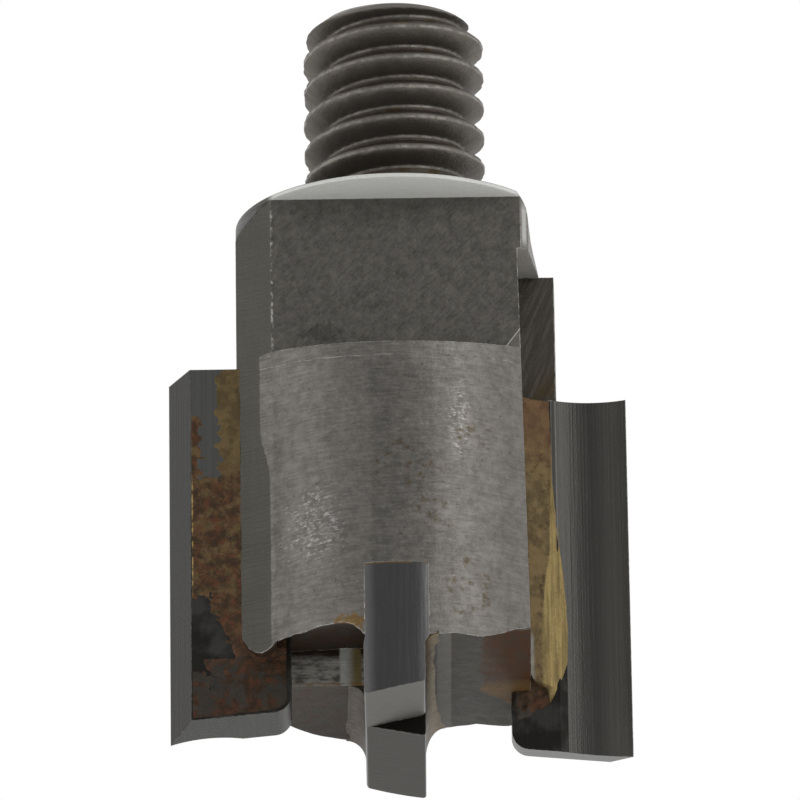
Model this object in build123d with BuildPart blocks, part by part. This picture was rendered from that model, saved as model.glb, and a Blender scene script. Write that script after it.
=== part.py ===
"""Mortise router bit: a threaded steel body with two side tips and one cross tip, all brazed.

Millimetres. Z runs up the axis towards the threaded end, and the origin is the centre of the
plane of the lowest cutting corners. The side tips reach out along X. The front spanner flat
faces -Y. Seen from the thread, the bit cuts as it turns clockwise.
"""

import os
from math import radians, sqrt, tan

from build123d import *

os.makedirs("parts", exist_ok=True)

# Cutting sizes
cut_diameter = 20.0
cut_height = 16.3
side_tip_thickness = 2.15
side_tip_inner = 4.8
rake_offset = 1.25
radial_relief = 24.0
end_relief = 10.5
end_dish = 5.7
side_tip_corner = 0.7
hollow_width = 3.1
hollow_depth = 0.34

# Cross tip
cross_tip_width = 2.72
cross_tip_shift = -0.17
cross_tip_height = 6.25
cross_tip_relief = 12.0
cross_tip_front_lift = 0.3

# Steel body
body_diameter = 14.0
end_face_height = 3.0
shoulder_height = 23.9
flange_thickness = 0.2
flat_distance = 4.45
flat_length = 7.0
flat_runout_angle = 11.0
land_inset = 0.05
land_chamfer = 1.3
land_chamfer_drop = 2.6
gullet_wall = 5.3
gullet_height = 21.7
scallop_radius = 8.5
scallop_wall = 5.9
hollow_edge_rise = 0.75
hollow_peak_rise = 1.75
hollow_wall_rise = 1.35

# Threaded end
thread_diameter = 7.94
thread_pitch = 1.411
thread_length = 9.4
thread_end_radius = 3.3
collar_height = 0.9
collar_clearance = 0.03
thread_depth_share = 0.6134
root_flat_share = 0.2
crest_flat_share = 0.14

# Braze fillets
braze_front_width = 1.4
braze_front_spread = 0.5
braze_front_depth = 0.7
braze_back_width = 1.9
braze_back_depth = 0.26
braze_back_bottom = 5.6
braze_end_width = 0.6
braze_end_drop = 0.5
braze_end_gap = 0.1
fillet_sag = 0.43
film_foot_share = 0.3
film_crest_along = 0.45
film_crest_share = 0.7

# Sizes worked out from the ones above
cut_radius = cut_diameter / 2
body_radius = body_diameter / 2
thread_radius = thread_diameter / 2
overall_height = shoulder_height + thread_length
tip_reach = sqrt(cut_radius**2 - rake_offset**2)
tip_back = rake_offset + side_tip_thickness
tip_back_reach = tip_reach - side_tip_thickness * tan(radians(radial_relief))
land_reach = body_radius - land_inset
flange_bottom = shoulder_height - flange_thickness
flat_half_width = sqrt(body_radius**2 - flat_distance**2)
flat_bottom = flange_bottom - flat_length
cross_left = cross_tip_shift - cross_tip_width / 2
cross_right = cross_tip_shift + cross_tip_width / 2
margin = 1.0


def end_plane(edge_point, dish_direction, relief_direction, dish, relief):
    """Return the plane of a ground end: it rises by dish and by relief from a cutting corner."""
    dish_slope = tan(radians(dish))
    relief_slope = tan(radians(relief))
    normal = (
        -dish_direction[0] * dish_slope - relief_direction[0] * relief_slope,
        -dish_direction[1] * dish_slope - relief_direction[1] * relief_slope,
        1.0,
    )
    return Plane(origin=edge_point, z_dir=normal)


# Right side tip: a carbide plate, hollow ground on its rake face, relieved behind both edges
hollow_radius = ((hollow_width / 2) ** 2 + hollow_depth**2) / (2 * hollow_depth)
hollow_centre_x = tip_reach - hollow_width / 2
hollow_centre_y = rake_offset + hollow_depth - hollow_radius

with BuildPart() as side_tip_right:
    with BuildSketch():
        with BuildLine():
            Polyline(
                (side_tip_inner, rake_offset),
                (tip_reach, rake_offset),
                (tip_back_reach, tip_back),
                (side_tip_inner, tip_back),
                close=True,
            )
        make_face()
    extrude(amount=cut_height)
    with BuildSketch():
        with Locations((hollow_centre_x, hollow_centre_y)):
            Circle(hollow_radius)
    extrude(amount=cut_height, mode=Mode.SUBTRACT)
    split(
        bisect_by=end_plane((tip_reach, rake_offset, 0), (-1, 0), (0, 1), end_dish, end_relief),
        keep=Keep.TOP,
    )
    inner_end_edge = side_tip_right.edges().group_by(Axis.X)[0].sort_by(Axis.Z)[0]
    fillet(inner_end_edge, radius=side_tip_corner)

# Left side tip: the same plate half a turn round the axis
with BuildPart() as side_tip_left:
    add(side_tip_right.part, rotation=(0, 0, 180))

# Cross tip: one plate through the body, each half relieved away from its own cutting edge
with BuildPart() as cross_front_half:
    with BuildSketch():
        Circle(body_radius)
        with Locations((cross_tip_shift, -body_radius)):
            Rectangle(cross_tip_width, 2 * body_radius, mode=Mode.INTERSECT)
    extrude(amount=cross_tip_height)
    split(
        bisect_by=end_plane(
            (cross_left, -body_radius, cross_tip_front_lift), (0, 1), (1, 0), end_dish, cross_tip_relief
        ),
        keep=Keep.TOP,
    )

with BuildPart() as cross_back_half:
    with BuildSketch():
        Circle(body_radius)
        with Locations((cross_tip_shift, body_radius)):
            Rectangle(cross_tip_width, 2 * body_radius, mode=Mode.INTERSECT)
    extrude(amount=cross_tip_height)
    split(
        bisect_by=end_plane((cross_right, body_radius, 0), (0, -1), (-1, 0), end_dish, cross_tip_relief),
        keep=Keep.TOP,
    )

with BuildPart() as cross_tip:
    add(cross_front_half.part)
    add(cross_back_half.part)

# Helical thread: a pointed ridge swept up the core, trimmed to its outer and end sizes
thread_base = shoulder_height + collar_height
collar_radius = thread_radius + collar_clearance
thread_depth = thread_depth_share * thread_pitch
root_radius = thread_radius - thread_depth
ridge_sink = 0.06
root_flat = thread_pitch * root_flat_share
crest_flat = thread_pitch * crest_flat_share
ridge_bottom_half = (thread_pitch - root_flat) / 2
ridge_top_half = crest_flat / 2
turns_height = overall_height - thread_base + thread_pitch
end_chamfer = thread_radius - thread_end_radius
stock_radius = thread_radius + margin
stock_height = overall_height + 3 * thread_pitch

with BuildPart() as thread_ridge:
    with BuildLine() as thread_path:
        Helix(pitch=thread_pitch, height=turns_height, radius=root_radius, center=(0, 0, thread_base))
    ridge_start = Plane(
        origin=thread_path.line @ 0,
        x_dir=(1, 0, 0),
        z_dir=thread_path.line % 0,
    )
    with BuildSketch(ridge_start):
        with BuildLine():
            Polyline(
                (-ridge_sink, -ridge_bottom_half),
                (thread_depth, -ridge_top_half),
                (thread_depth, ridge_top_half),
                (-ridge_sink, ridge_bottom_half),
                close=True,
            )
        make_face()
    sweep(path=thread_path.line, is_frenet=True)

with BuildPart() as threaded_end:
    with BuildSketch(Plane.XY.offset(shoulder_height - margin)):
        Circle(root_radius)
    extrude(amount=stock_height - shoulder_height)
    add(thread_ridge.part)

    # Plain collar that the thread runs out against
    with BuildSketch(Plane.XY.offset(shoulder_height - margin)):
        Circle(collar_radius)
    extrude(amount=margin + collar_height)

    # Chamfered end
    with BuildSketch(Plane.XZ):
        with BuildLine():
            Polyline(
                (0, overall_height),
                (thread_end_radius, overall_height),
                (stock_radius, overall_height - end_chamfer - margin),
                (stock_radius, stock_height),
                (0, stock_height),
                close=True,
            )
        make_face()
    revolve(axis=Axis.Z, mode=Mode.SUBTRACT)

# Steel body
scallop_centre_x = scallop_wall + scallop_radius
scallop_centre_z = shoulder_height
cutter_span = 2 * cut_radius

with BuildPart() as body:
    with BuildSketch(Plane.XY.offset(end_face_height)):
        Circle(body_radius)
    extrude(amount=shoulder_height - end_face_height)

    # Backing lands that carry the steel out behind both side tips
    with BuildSketch(Plane.XY.offset(end_face_height)):
        with PolarLocations(0, 2):
            with BuildLine():
                Polyline(
                    (gullet_wall - margin, tip_back - margin),
                    (sqrt(body_radius**2 - rake_offset**2), rake_offset),
                    (land_reach, tip_back),
                    (flat_half_width, flat_distance),
                    (gullet_wall - margin, flat_distance - margin),
                    close=True,
                )
            make_face()
    extrude(amount=flange_bottom - end_face_height)

    # Chamfer that brings the lands back to the shoulder's rim
    with BuildSketch(Plane.XZ):
        with BuildLine():
            Polyline(
                (body_radius, flange_bottom),
                (body_radius + land_chamfer, flange_bottom),
                (body_radius + land_chamfer, flange_bottom - land_chamfer_drop),
                close=True,
            )
        make_face()
    revolve(axis=Axis.Z, mode=Mode.SUBTRACT)

    # Spanner flats, front and back, with the run-out of the cutter at their lower ends
    with BuildSketch(Plane.YZ):
        with BuildLine():
            Polyline(
                (-flat_distance, flange_bottom),
                (-flat_distance, flat_bottom),
                (
                    -body_radius - margin,
                    flat_bottom - (body_radius + margin - flat_distance) * tan(radians(flat_runout_angle)),
                ),
                (-body_radius - margin, flange_bottom),
                close=True,
            )
        make_face()
        mirror(about=Plane.YZ)
    extrude(amount=cutter_span, both=True, mode=Mode.SUBTRACT)

    # Chip gullets, which also free the rake faces
    with BuildSketch(Plane.XY):
        with PolarLocations(0, 2):
            with Locations((gullet_wall, rake_offset)):
                Rectangle(cut_radius, cutter_span, align=(Align.MIN, Align.MAX))
    extrude(amount=gullet_height, mode=Mode.SUBTRACT)

    # Concave run-out beside the shoulder, on the right only
    with BuildSketch(Plane.XZ):
        with Locations((scallop_centre_x, scallop_centre_z)):
            Circle(scallop_radius)
    extrude(amount=cutter_span, both=True, mode=Mode.SUBTRACT)

    # Pockets for the side tips and the slot for the cross tip
    with BuildSketch(Plane.XY):
        with PolarLocations(0, 2):
            with Locations((side_tip_inner, rake_offset)):
                Rectangle(cut_radius, side_tip_thickness, align=(Align.MIN, Align.MIN))
    extrude(amount=cut_height, mode=Mode.SUBTRACT)
    with BuildSketch(Plane.XY):
        with Locations((cross_tip_shift, 0)):
            Rectangle(cross_tip_width, cutter_span)
    extrude(amount=cross_tip_height, mode=Mode.SUBTRACT)

    add(threaded_end.part)

# Arched hollows in front of the cross tip's cutting edges, front left and back right
hollow_left = -gullet_wall
hollow_floor = end_face_height - margin

for turn, hollow_right in ((0, cross_left), (180, -cross_right)):
    with BuildPart() as end_hollow:
        with BuildSketch(Plane.YZ.offset(hollow_left)):
            with BuildLine():
                rim = (-body_radius - margin, end_face_height + hollow_edge_rise)
                crown = (-body_radius / 2, end_face_height + hollow_peak_rise)
                wall_top = (0, end_face_height + hollow_wall_rise)
                ThreePointArc(rim, crown, wall_top)
                Polyline(wall_top, (0, hollow_floor), (rim[0], hollow_floor), rim)
            make_face()
        extrude(amount=hollow_right - hollow_left)
    with body:
        add(end_hollow.part, rotation=(0, 0, turn), mode=Mode.SUBTRACT)

# Braze beside the right side tip: a fillet in the gullet's corner and a film behind the plate
land_slope_x = flat_half_width - land_reach
land_slope_y = flat_distance - tip_back
film_foot_x = land_reach + land_slope_x * film_foot_share
film_foot_y = tip_back + land_slope_y * film_foot_share
film_end_x = land_reach + braze_back_width
film_crest_x = land_reach + braze_back_width * film_crest_along
film_crest_y = tip_back + braze_back_depth * film_crest_share

with BuildPart() as braze_right:
    for height, width in (
        (end_face_height, braze_front_width + braze_front_spread),
        (cut_height, braze_front_width),
    ):
        with BuildSketch(Plane.XY.offset(height)):
            with BuildLine():
                ThreePointArc(
                    (gullet_wall, rake_offset - braze_front_depth),
                    (gullet_wall + width * fillet_sag, rake_offset - braze_front_depth * fillet_sag),
                    (gullet_wall + width, rake_offset),
                )
                Polyline(
                    (gullet_wall + width, rake_offset),
                    (gullet_wall, rake_offset),
                    (gullet_wall, rake_offset - braze_front_depth),
                )
            make_face()
    loft()
    with BuildSketch(Plane.XY.offset(braze_back_bottom)):
        with BuildLine():
            Polyline((film_foot_x, film_foot_y), (land_reach, tip_back), (film_end_x, tip_back))
            ThreePointArc((film_end_x, tip_back), (film_crest_x, film_crest_y), (film_foot_x, film_foot_y))
        make_face()
    extrude(amount=cut_height - braze_back_bottom)

with BuildPart() as braze_left:
    add(braze_right.part, rotation=(0, 0, 180))

# Braze along both trailing sides of the cross tip, in the corner with the end face
braze_length = sqrt(body_radius**2 - (cross_right + braze_end_width) ** 2) - braze_end_gap

with BuildPart() as braze_cross:
    for side, start, end in ((1, cross_right, -braze_length), (-1, cross_left, braze_length)):
        with BuildSketch(Plane.XZ):
            with BuildLine():
                Polyline(
                    (start + side * braze_end_width, end_face_height),
                    (start, end_face_height),
                    (start, end_face_height - braze_end_drop),
                )
                ThreePointArc(
                    (start, end_face_height - braze_end_drop),
                    (start + side * braze_end_width * fillet_sag, end_face_height - braze_end_drop * fillet_sag),
                    (start + side * braze_end_width, end_face_height),
                )
            make_face()
        extrude(amount=-end)

for name, piece in (
    ("body", body),
    ("side_tip_left", side_tip_left),
    ("side_tip_right", side_tip_right),
    ("cross_tip", cross_tip),
    ("braze_left", braze_left),
    ("braze_right", braze_right),
    ("braze_cross", braze_cross),
):
    piece.part.label = name
    export_step(piece.part, f"parts/{name}.step")
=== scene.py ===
"""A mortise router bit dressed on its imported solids: stud, steel body, carbide tips and braze.

Every length in the classes is in millimetres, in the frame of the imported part, and the meshes
are scaled to metres when they are made. The rest of the file follows one order: small helpers,
finishes, sub-assemblies, camera and studio, and the main function that builds them.
"""

import logging
import math
from dataclasses import dataclass
from enum import Enum

import bmesh
import bpy
import numpy as np
from mathutils import Matrix, Vector

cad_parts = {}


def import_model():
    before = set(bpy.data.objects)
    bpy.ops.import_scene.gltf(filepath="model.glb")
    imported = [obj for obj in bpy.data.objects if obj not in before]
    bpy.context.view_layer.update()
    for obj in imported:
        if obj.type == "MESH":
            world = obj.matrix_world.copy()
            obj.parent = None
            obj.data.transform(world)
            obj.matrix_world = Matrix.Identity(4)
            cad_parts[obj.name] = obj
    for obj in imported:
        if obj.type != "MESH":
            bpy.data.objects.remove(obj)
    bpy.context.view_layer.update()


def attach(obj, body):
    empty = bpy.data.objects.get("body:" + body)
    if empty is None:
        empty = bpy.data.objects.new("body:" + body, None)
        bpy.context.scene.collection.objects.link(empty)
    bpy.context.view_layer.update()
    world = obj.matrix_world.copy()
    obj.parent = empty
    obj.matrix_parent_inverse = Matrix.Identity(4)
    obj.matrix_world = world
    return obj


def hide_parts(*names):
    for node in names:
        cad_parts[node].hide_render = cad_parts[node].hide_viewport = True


LOG = logging.getLogger("router_bit")
METRES = 0.001
MIDDLE = (0.0, 0.0, 0.0166)
Item = bpy.types.Object
Material = bpy.types.Material
Socket = bpy.types.NodeSocket
Amount = Socket | float
Colour = tuple[float, float, float, float]
Profile = tuple[tuple[float, ...], tuple[float, ...]]


def tint(code: str) -> Colour:
    """Turn a colour as it looks on screen into the linear colour that a shader takes.

    Args:
        code: Six hexadecimal digits, red first.

    Returns:
        The linear colour with full opacity.
    """
    parts = [int(code[i : i + 2], 16) / 255 for i in (0, 2, 4)]
    linear = [p / 12.92 if p <= 0.04045 else ((p + 0.055) / 1.055) ** 2.4 for p in parts]
    return (linear[0], linear[1], linear[2], 1.0)


def ease(value: np.ndarray, low: float, high: float) -> np.ndarray:
    """Rise smoothly from 0 at low to 1 at high.

    Args:
        value: Numbers to map.
        low: Where the rise starts; it may be above high, for a fall.
        high: Where it ends.

    Returns:
        Numbers from 0 to 1.
    """
    share = np.clip((value - low) / (high - low), 0, 1)
    return share * share * (3 - 2 * share)


def ripple(u: np.ndarray, v: np.ndarray, seed: int, wavelength: float, terms: int = 16) -> np.ndarray:
    """Give a smooth random height from crossing waves.

    Args:
        u: First coordinate.
        v: Second coordinate.
        seed: Which pattern.
        wavelength: Typical distance between crests.
        terms: How many waves cross.

    Returns:
        Heights of about -1 to 1.
    """
    rng = np.random.default_rng(seed)
    total = np.zeros(np.broadcast(u, v).shape)
    for _ in range(terms):
        heading = rng.uniform(0, math.tau)
        wave = math.tau / (wavelength * rng.uniform(0.55, 1.8))
        start = rng.uniform(0, math.tau)
        total = total + np.sin(wave * (u * math.cos(heading) + v * math.sin(heading)) + start)
    return total / math.sqrt(terms)


def solid(name: str, points: np.ndarray, faces: list[tuple[int, ...]]) -> Item:
    """Make a mesh object from points in millimetres.

    Args:
        name: Name of the object.
        points: Points, one row each.
        faces: Corner numbers of each face.

    Returns:
        The new object, linked to the scene, with its faces turned outwards.
    """
    mesh = bpy.data.meshes.new(name)
    mesh.from_pydata((np.asarray(points) * METRES).tolist(), [], faces)
    work = bmesh.new()
    work.from_mesh(mesh)
    bmesh.ops.recalc_face_normals(work, faces=work.faces)
    work.to_mesh(mesh)
    work.free()
    item = bpy.data.objects.new(name, mesh)
    bpy.context.scene.collection.objects.link(item)
    return item


def tube(name: str, rings: np.ndarray) -> Item:
    """Make a closed column from a stack of rings.

    Args:
        name: Name of the object.
        rings: Points as ring, place in the ring, coordinate.

    Returns:
        The column, capped at both ends.
    """
    levels, around = rings.shape[:2]
    faces = []
    for i in range(levels - 1):
        for j in range(around):
            a, b = i * around + j, i * around + (j + 1) % around
            faces.append((a, b, b + around, a + around))
    faces.append(tuple(range(around - 1, -1, -1)))
    faces.append(tuple((levels - 1) * around + j for j in range(around)))
    return solid(name, rings.reshape(-1, 3), faces)


def slab(name: str, front: np.ndarray, back: np.ndarray) -> Item:
    """Make a closed sheet between two grids of points.

    Args:
        name: Name of the object.
        front: Points as row, column, coordinate.
        back: Points of the same shape on the other side.

    Returns:
        The closed sheet.
    """
    rows, columns = front.shape[:2]
    shift = rows * columns
    faces = []
    for i in range(rows - 1):
        for j in range(columns - 1):
            a = i * columns + j
            b, c, d = a + 1, a + columns + 1, a + columns
            faces.append((a, b, c, d))
            faces.append((d + shift, c + shift, b + shift, a + shift))
    rim = list(range(columns))
    rim += [i * columns + columns - 1 for i in range(1, rows)]
    rim += [(rows - 1) * columns + j for j in range(columns - 2, -1, -1)]
    rim += [i * columns for i in range(rows - 2, 0, -1)]
    for a, b in zip(rim, rim[1:] + rim[:1]):
        faces.append((b, a, a + shift, b + shift))
    return solid(name, np.concatenate([front.reshape(-1, 3), back.reshape(-1, 3)]), faces)


def lattice(*coordinates: np.ndarray | float) -> np.ndarray:
    """Join x, y and z to points, each of them spread over the whole lattice."""
    return np.stack(np.broadcast_arrays(*coordinates), axis=-1)


def prism(name: str, outline: list[tuple[float, float]], axis: int, low: float, high: float) -> Item:
    """Make a straight bar with a drawn outline.

    Args:
        name: Name of the object.
        outline: Corners in the plane across the axis, in the order of the remaining coordinates.
        axis: 0, 1 or 2 for X, Y or Z.
        low: Where the bar starts along the axis.
        high: Where it ends.

    Returns:
        The bar.
    """
    flat = np.insert(np.asarray(outline, float), axis, low, axis=1)
    far = flat.copy()
    far[:, axis] = high
    return tube(name, np.stack([flat, far]))


def half_turn(item: Item) -> Item:
    """Turn an object's mesh by half a turn round the bit's axis, and return the object."""
    item.data.transform(Matrix.Rotation(math.pi, 4, "Z"))
    return item


def carve(blank: Item, cutters: list[Item]) -> None:
    """Cut solids out of a blank and delete them.

    Args:
        blank: The object that is cut.
        cutters: What is taken away from it, in order.
    """
    for cutter in cutters:
        step = blank.modifiers.new(cutter.name, "BOOLEAN")
        step.operation = "DIFFERENCE"
        step.solver = "EXACT"
        step.object = cutter
    bpy.context.view_layer.update()
    evaluated = blank.evaluated_get(bpy.context.evaluated_depsgraph_get())
    result = bpy.data.meshes.new_from_object(evaluated)
    blank.modifiers.clear()
    old = blank.data
    blank.data = result
    bpy.data.meshes.remove(old)
    for cutter in cutters:
        bpy.data.objects.remove(cutter)


def coat(item: Item, material: Material) -> None:
    """Leave one material on an object."""
    item.data.materials.clear()
    item.data.materials.append(material)


def round_off(item: Item, limit: float) -> None:
    """Shade a mesh smooth, but keep the edges sharp that turn by more than an angle.

    Args:
        item: The object.
        limit: The angle in degrees.
    """
    work = bmesh.new()
    work.from_mesh(item.data)
    bmesh.ops.remove_doubles(work, verts=work.verts, dist=0.002 * METRES)
    for face in work.faces:
        face.smooth = True
    for edge in work.edges:
        edge.smooth = len(edge.link_faces) == 2 and edge.calc_face_angle(0) < math.radians(limit)
    work.to_mesh(item.data)
    work.free()


class Graph:
    """Writes a material's nodes as short sums, on places in millimetres.

    Attributes:
        material: The material that the nodes belong to.
        x, y, z: Place on the piece, in millimetres.
        nx, ny, nz: Direction that the face looks in.
        radius: Distance from the bit's axis.
    """

    def __init__(self, name: str) -> None:
        """Start an empty material with this name.

        Args:
            name: Name of the material.
        """
        self.material = bpy.data.materials.new(name)
        self.material.use_nodes = True
        self.nodes = self.material.node_tree.nodes
        self.links = self.material.node_tree.links
        self.nodes.clear()
        coordinates = self.nodes.new("ShaderNodeTexCoord")
        scaled = self.nodes.new("ShaderNodeVectorMath")
        scaled.operation = "SCALE"
        scaled.inputs["Scale"].default_value = 1 / METRES
        self.links.new(coordinates.outputs["Object"], scaled.inputs[0])
        self.place = scaled.outputs[0]
        self.x, self.y, self.z = self.split(self.place)
        self.geometry = self.nodes.new("ShaderNodeNewGeometry")
        self.nx, self.ny, self.nz = self.split(self.geometry.outputs["True Normal"])
        self.radius = self.math("SQRT", self.plus(self.times(self.x, self.x), self.times(self.y, self.y)))

    def put(self, value: Amount | Colour, socket: Socket) -> None:
        """Link a socket to an input, or set the input to a constant.

        Args:
            value: The socket or the constant.
            socket: The input.
        """
        if isinstance(value, bpy.types.NodeSocket):
            self.links.new(value, socket)
        else:
            socket.default_value = value

    def split(self, vector: Socket) -> tuple[Socket, Socket, Socket]:
        """Return the three parts of a vector.

        Args:
            vector: The vector.

        Returns:
            Its x, y and z.
        """
        node = self.nodes.new("ShaderNodeSeparateXYZ")
        self.links.new(vector, node.inputs[0])
        return node.outputs[0], node.outputs[1], node.outputs[2]

    def math(self, operation: str, a: Amount, b: Amount = 0.0, clamp: bool = False) -> Socket:
        """Return one sum of two values.

        Args:
            operation: Blender's name for the sum.
            a: First value.
            b: Second value, where the sum has one.
            clamp: Whether the result stays from 0 to 1.

        Returns:
            The result.
        """
        node = self.nodes.new("ShaderNodeMath")
        node.operation = operation
        node.use_clamp = clamp
        self.put(a, node.inputs[0])
        self.put(b, node.inputs[1])
        return node.outputs[0]

    def fold(self, operation: str, values: tuple[Amount, ...]) -> Socket:
        """Return one sum taken over all values from the left.

        Args:
            operation: Blender's name for the sum.
            values: The values.

        Returns:
            The result.
        """
        total = values[0]
        for value in values[1:]:
            total = self.math(operation, total, value)
        return total

    def times(self, *values: Amount) -> Socket:
        """Return the product of all values."""
        return self.fold("MULTIPLY", values)

    def plus(self, *values: Amount) -> Socket:
        """Return the sum of all values."""
        return self.fold("ADD", values)

    def minus(self, a: Amount, b: Amount) -> Socket:
        """Return a less b."""
        return self.math("SUBTRACT", a, b)

    def most(self, *values: Amount) -> Socket:
        """Return the greatest of all values."""
        return self.fold("MAXIMUM", values)

    def rise(self, value: Amount, low: float, high: float) -> Socket:
        """Return a smooth rise from 0 at low to 1 at high, or a fall where low is above high.

        Args:
            value: What is measured.
            low: Where the result is 0.
            high: Where the result is 1.

        Returns:
            Values from 0 to 1.
        """
        node = self.nodes.new("ShaderNodeMapRange")
        node.interpolation_type = "SMOOTHSTEP"
        self.put(value, node.inputs["Value"])
        node.inputs["From Min"].default_value = low
        node.inputs["From Max"].default_value = high
        return node.outputs["Result"]

    def within(self, value: Amount, low: float, high: float, soft: float) -> Socket:
        """Return 1 between low and high and 0 outside, with soft borders.

        Args:
            value: What is measured.
            low: Where the inside starts.
            high: Where it ends.
            soft: How far each border reaches to both sides.

        Returns:
            Values from 0 to 1.
        """
        return self.times(
            self.rise(value, low - soft, low + soft),
            self.rise(value, high + soft, high - soft),
        )

    def near(self, x: float, z: float, wide: float, high: float, ragged: Amount = 0.0) -> Socket:
        """Return a soft oval spot on the front or back, seen along Y.

        Args:
            x: Its middle.
            z: Its middle.
            wide: Half its width.
            high: Half its height.
            ragged: Added to the distance, so that its border is uneven.

        Returns:
            1 in the middle and 0 outside.
        """
        across = self.math("DIVIDE", self.minus(self.x, x), wide)
        along = self.math("DIVIDE", self.minus(self.z, z), high)
        reach = self.math("SQRT", self.plus(self.times(across, across), self.times(along, along)))
        return self.rise(self.plus(reach, ragged), 1.15, 0.75)

    def stretch(self, x: Amount, y: Amount, z: Amount) -> Socket:
        """Return a vector made of three values.

        Args:
            x: First value.
            y: Second value.
            z: Third value.

        Returns:
            The vector.
        """
        node = self.nodes.new("ShaderNodeCombineXYZ")
        for value, socket in zip((x, y, z), node.inputs):
            self.put(value, socket)
        return node.outputs[0]

    def noise(
        self, scale: float, detail: float = 4.0, rough: float = 0.55, where: Socket | None = None
    ) -> Socket:
        """Return cloudy noise.

        Args:
            scale: Clouds per millimetre.
            detail: How many finer layers are added.
            rough: How strong they are.
            where: The place to read, if not the place on the piece.

        Returns:
            Values around 0.5.
        """
        node = self.nodes.new("ShaderNodeTexNoise")
        self.links.new(where or self.place, node.inputs["Vector"])
        node.inputs["Scale"].default_value = scale
        node.inputs["Detail"].default_value = detail
        node.inputs["Roughness"].default_value = rough
        return node.outputs["Fac"]

    def streaks(self, detail: float, rough: float, *place: Amount) -> Socket:
        """Return noise that is drawn out into streaks.

        Args:
            detail: How many finer layers are added.
            rough: How strong they are.
            place: The three coordinates to read at, in clouds.

        Returns:
            Values around 0.5.
        """
        return self.noise(1.0, detail, rough, self.stretch(*place))

    def mix(self, share: Amount, a: Socket | Colour, b: Socket | Colour) -> Socket:
        """Return a colour between a, at 0, and b, at 1.

        Args:
            share: How much of b there is.
            a: Colour at 0.
            b: Colour at 1.

        Returns:
            The mixed colour.
        """
        node = self.nodes.new("ShaderNodeMix")
        node.data_type = "RGBA"
        self.put(share, node.inputs[0])
        self.put(a, node.inputs[6])
        self.put(b, node.inputs[7])
        return node.outputs[2]

    def between(self, share: Amount, a: Amount, b: Amount) -> Socket:
        """Return a number between a, at 0, and b, at 1.

        Args:
            share: How much of b there is.
            a: Number at 0.
            b: Number at 1.

        Returns:
            The mixed number.
        """
        node = self.nodes.new("ShaderNodeMix")
        self.put(share, node.inputs[0])
        self.put(a, node.inputs[2])
        self.put(b, node.inputs[3])
        return node.outputs[0]

    def shade(self, colour: Socket | Colour, gain: Amount) -> Socket:
        """Return a colour made lighter or darker by a factor.

        Args:
            colour: The colour.
            gain: The factor.

        Returns:
            The lighter or darker colour.
        """
        node = self.nodes.new("ShaderNodeVectorMath")
        node.operation = "SCALE"
        self.put(colour[:3] if isinstance(colour, tuple) else colour, node.inputs[0])
        self.put(gain, node.inputs["Scale"])
        return node.outputs[0]

    def arris(self, width: float) -> tuple[Socket, Socket]:
        """Round the edges for the light.

        Args:
            width: How far from an edge the rounding reaches, in millimetres.

        Returns:
            The rounded normal, and a mask that is 1 on the edges.
        """
        node = self.nodes.new("ShaderNodeBevel")
        node.samples = 6
        node.inputs["Radius"].default_value = width * METRES
        dot = self.nodes.new("ShaderNodeVectorMath")
        dot.operation = "DOT_PRODUCT"
        self.links.new(node.outputs[0], dot.inputs[0])
        self.links.new(self.geometry.outputs["Normal"], dot.inputs[1])
        return node.outputs[0], self.rise(dot.outputs["Value"], 0.985, 0.86)

    def finish(
        self,
        colour: Socket,
        metal: Amount,
        gloss: Amount,
        height: Socket,
        depth: float,
        normal: Socket,
        shine: Amount = 0.5,
    ) -> Material:
        """Join colour, roughness and relief in one metal shader.

        Args:
            colour: Base colour.
            metal: How metallic it is.
            gloss: Roughness of its gloss.
            height: Relief from 0 to 1.
            depth: How deep the relief is, in millimetres.
            normal: The normal that the relief is laid on.
            shine: How strongly its bare parts shine, 0.5 as usual.

        Returns:
            The finished material.
        """
        bump = self.nodes.new("ShaderNodeBump")
        bump.inputs["Distance"].default_value = depth * METRES
        self.links.new(height, bump.inputs["Height"])
        self.links.new(normal, bump.inputs["Normal"])
        shader = self.nodes.new("ShaderNodeBsdfPrincipled")
        self.put(colour, shader.inputs["Base Color"])
        self.put(metal, shader.inputs["Metallic"])
        self.put(gloss, shader.inputs["Roughness"])
        self.put(shine, shader.inputs["Specular IOR Level"])
        self.links.new(bump.outputs[0], shader.inputs["Normal"])
        output = self.nodes.new("ShaderNodeOutputMaterial")
        self.links.new(shader.outputs[0], output.inputs[0])
        return self.material


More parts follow.
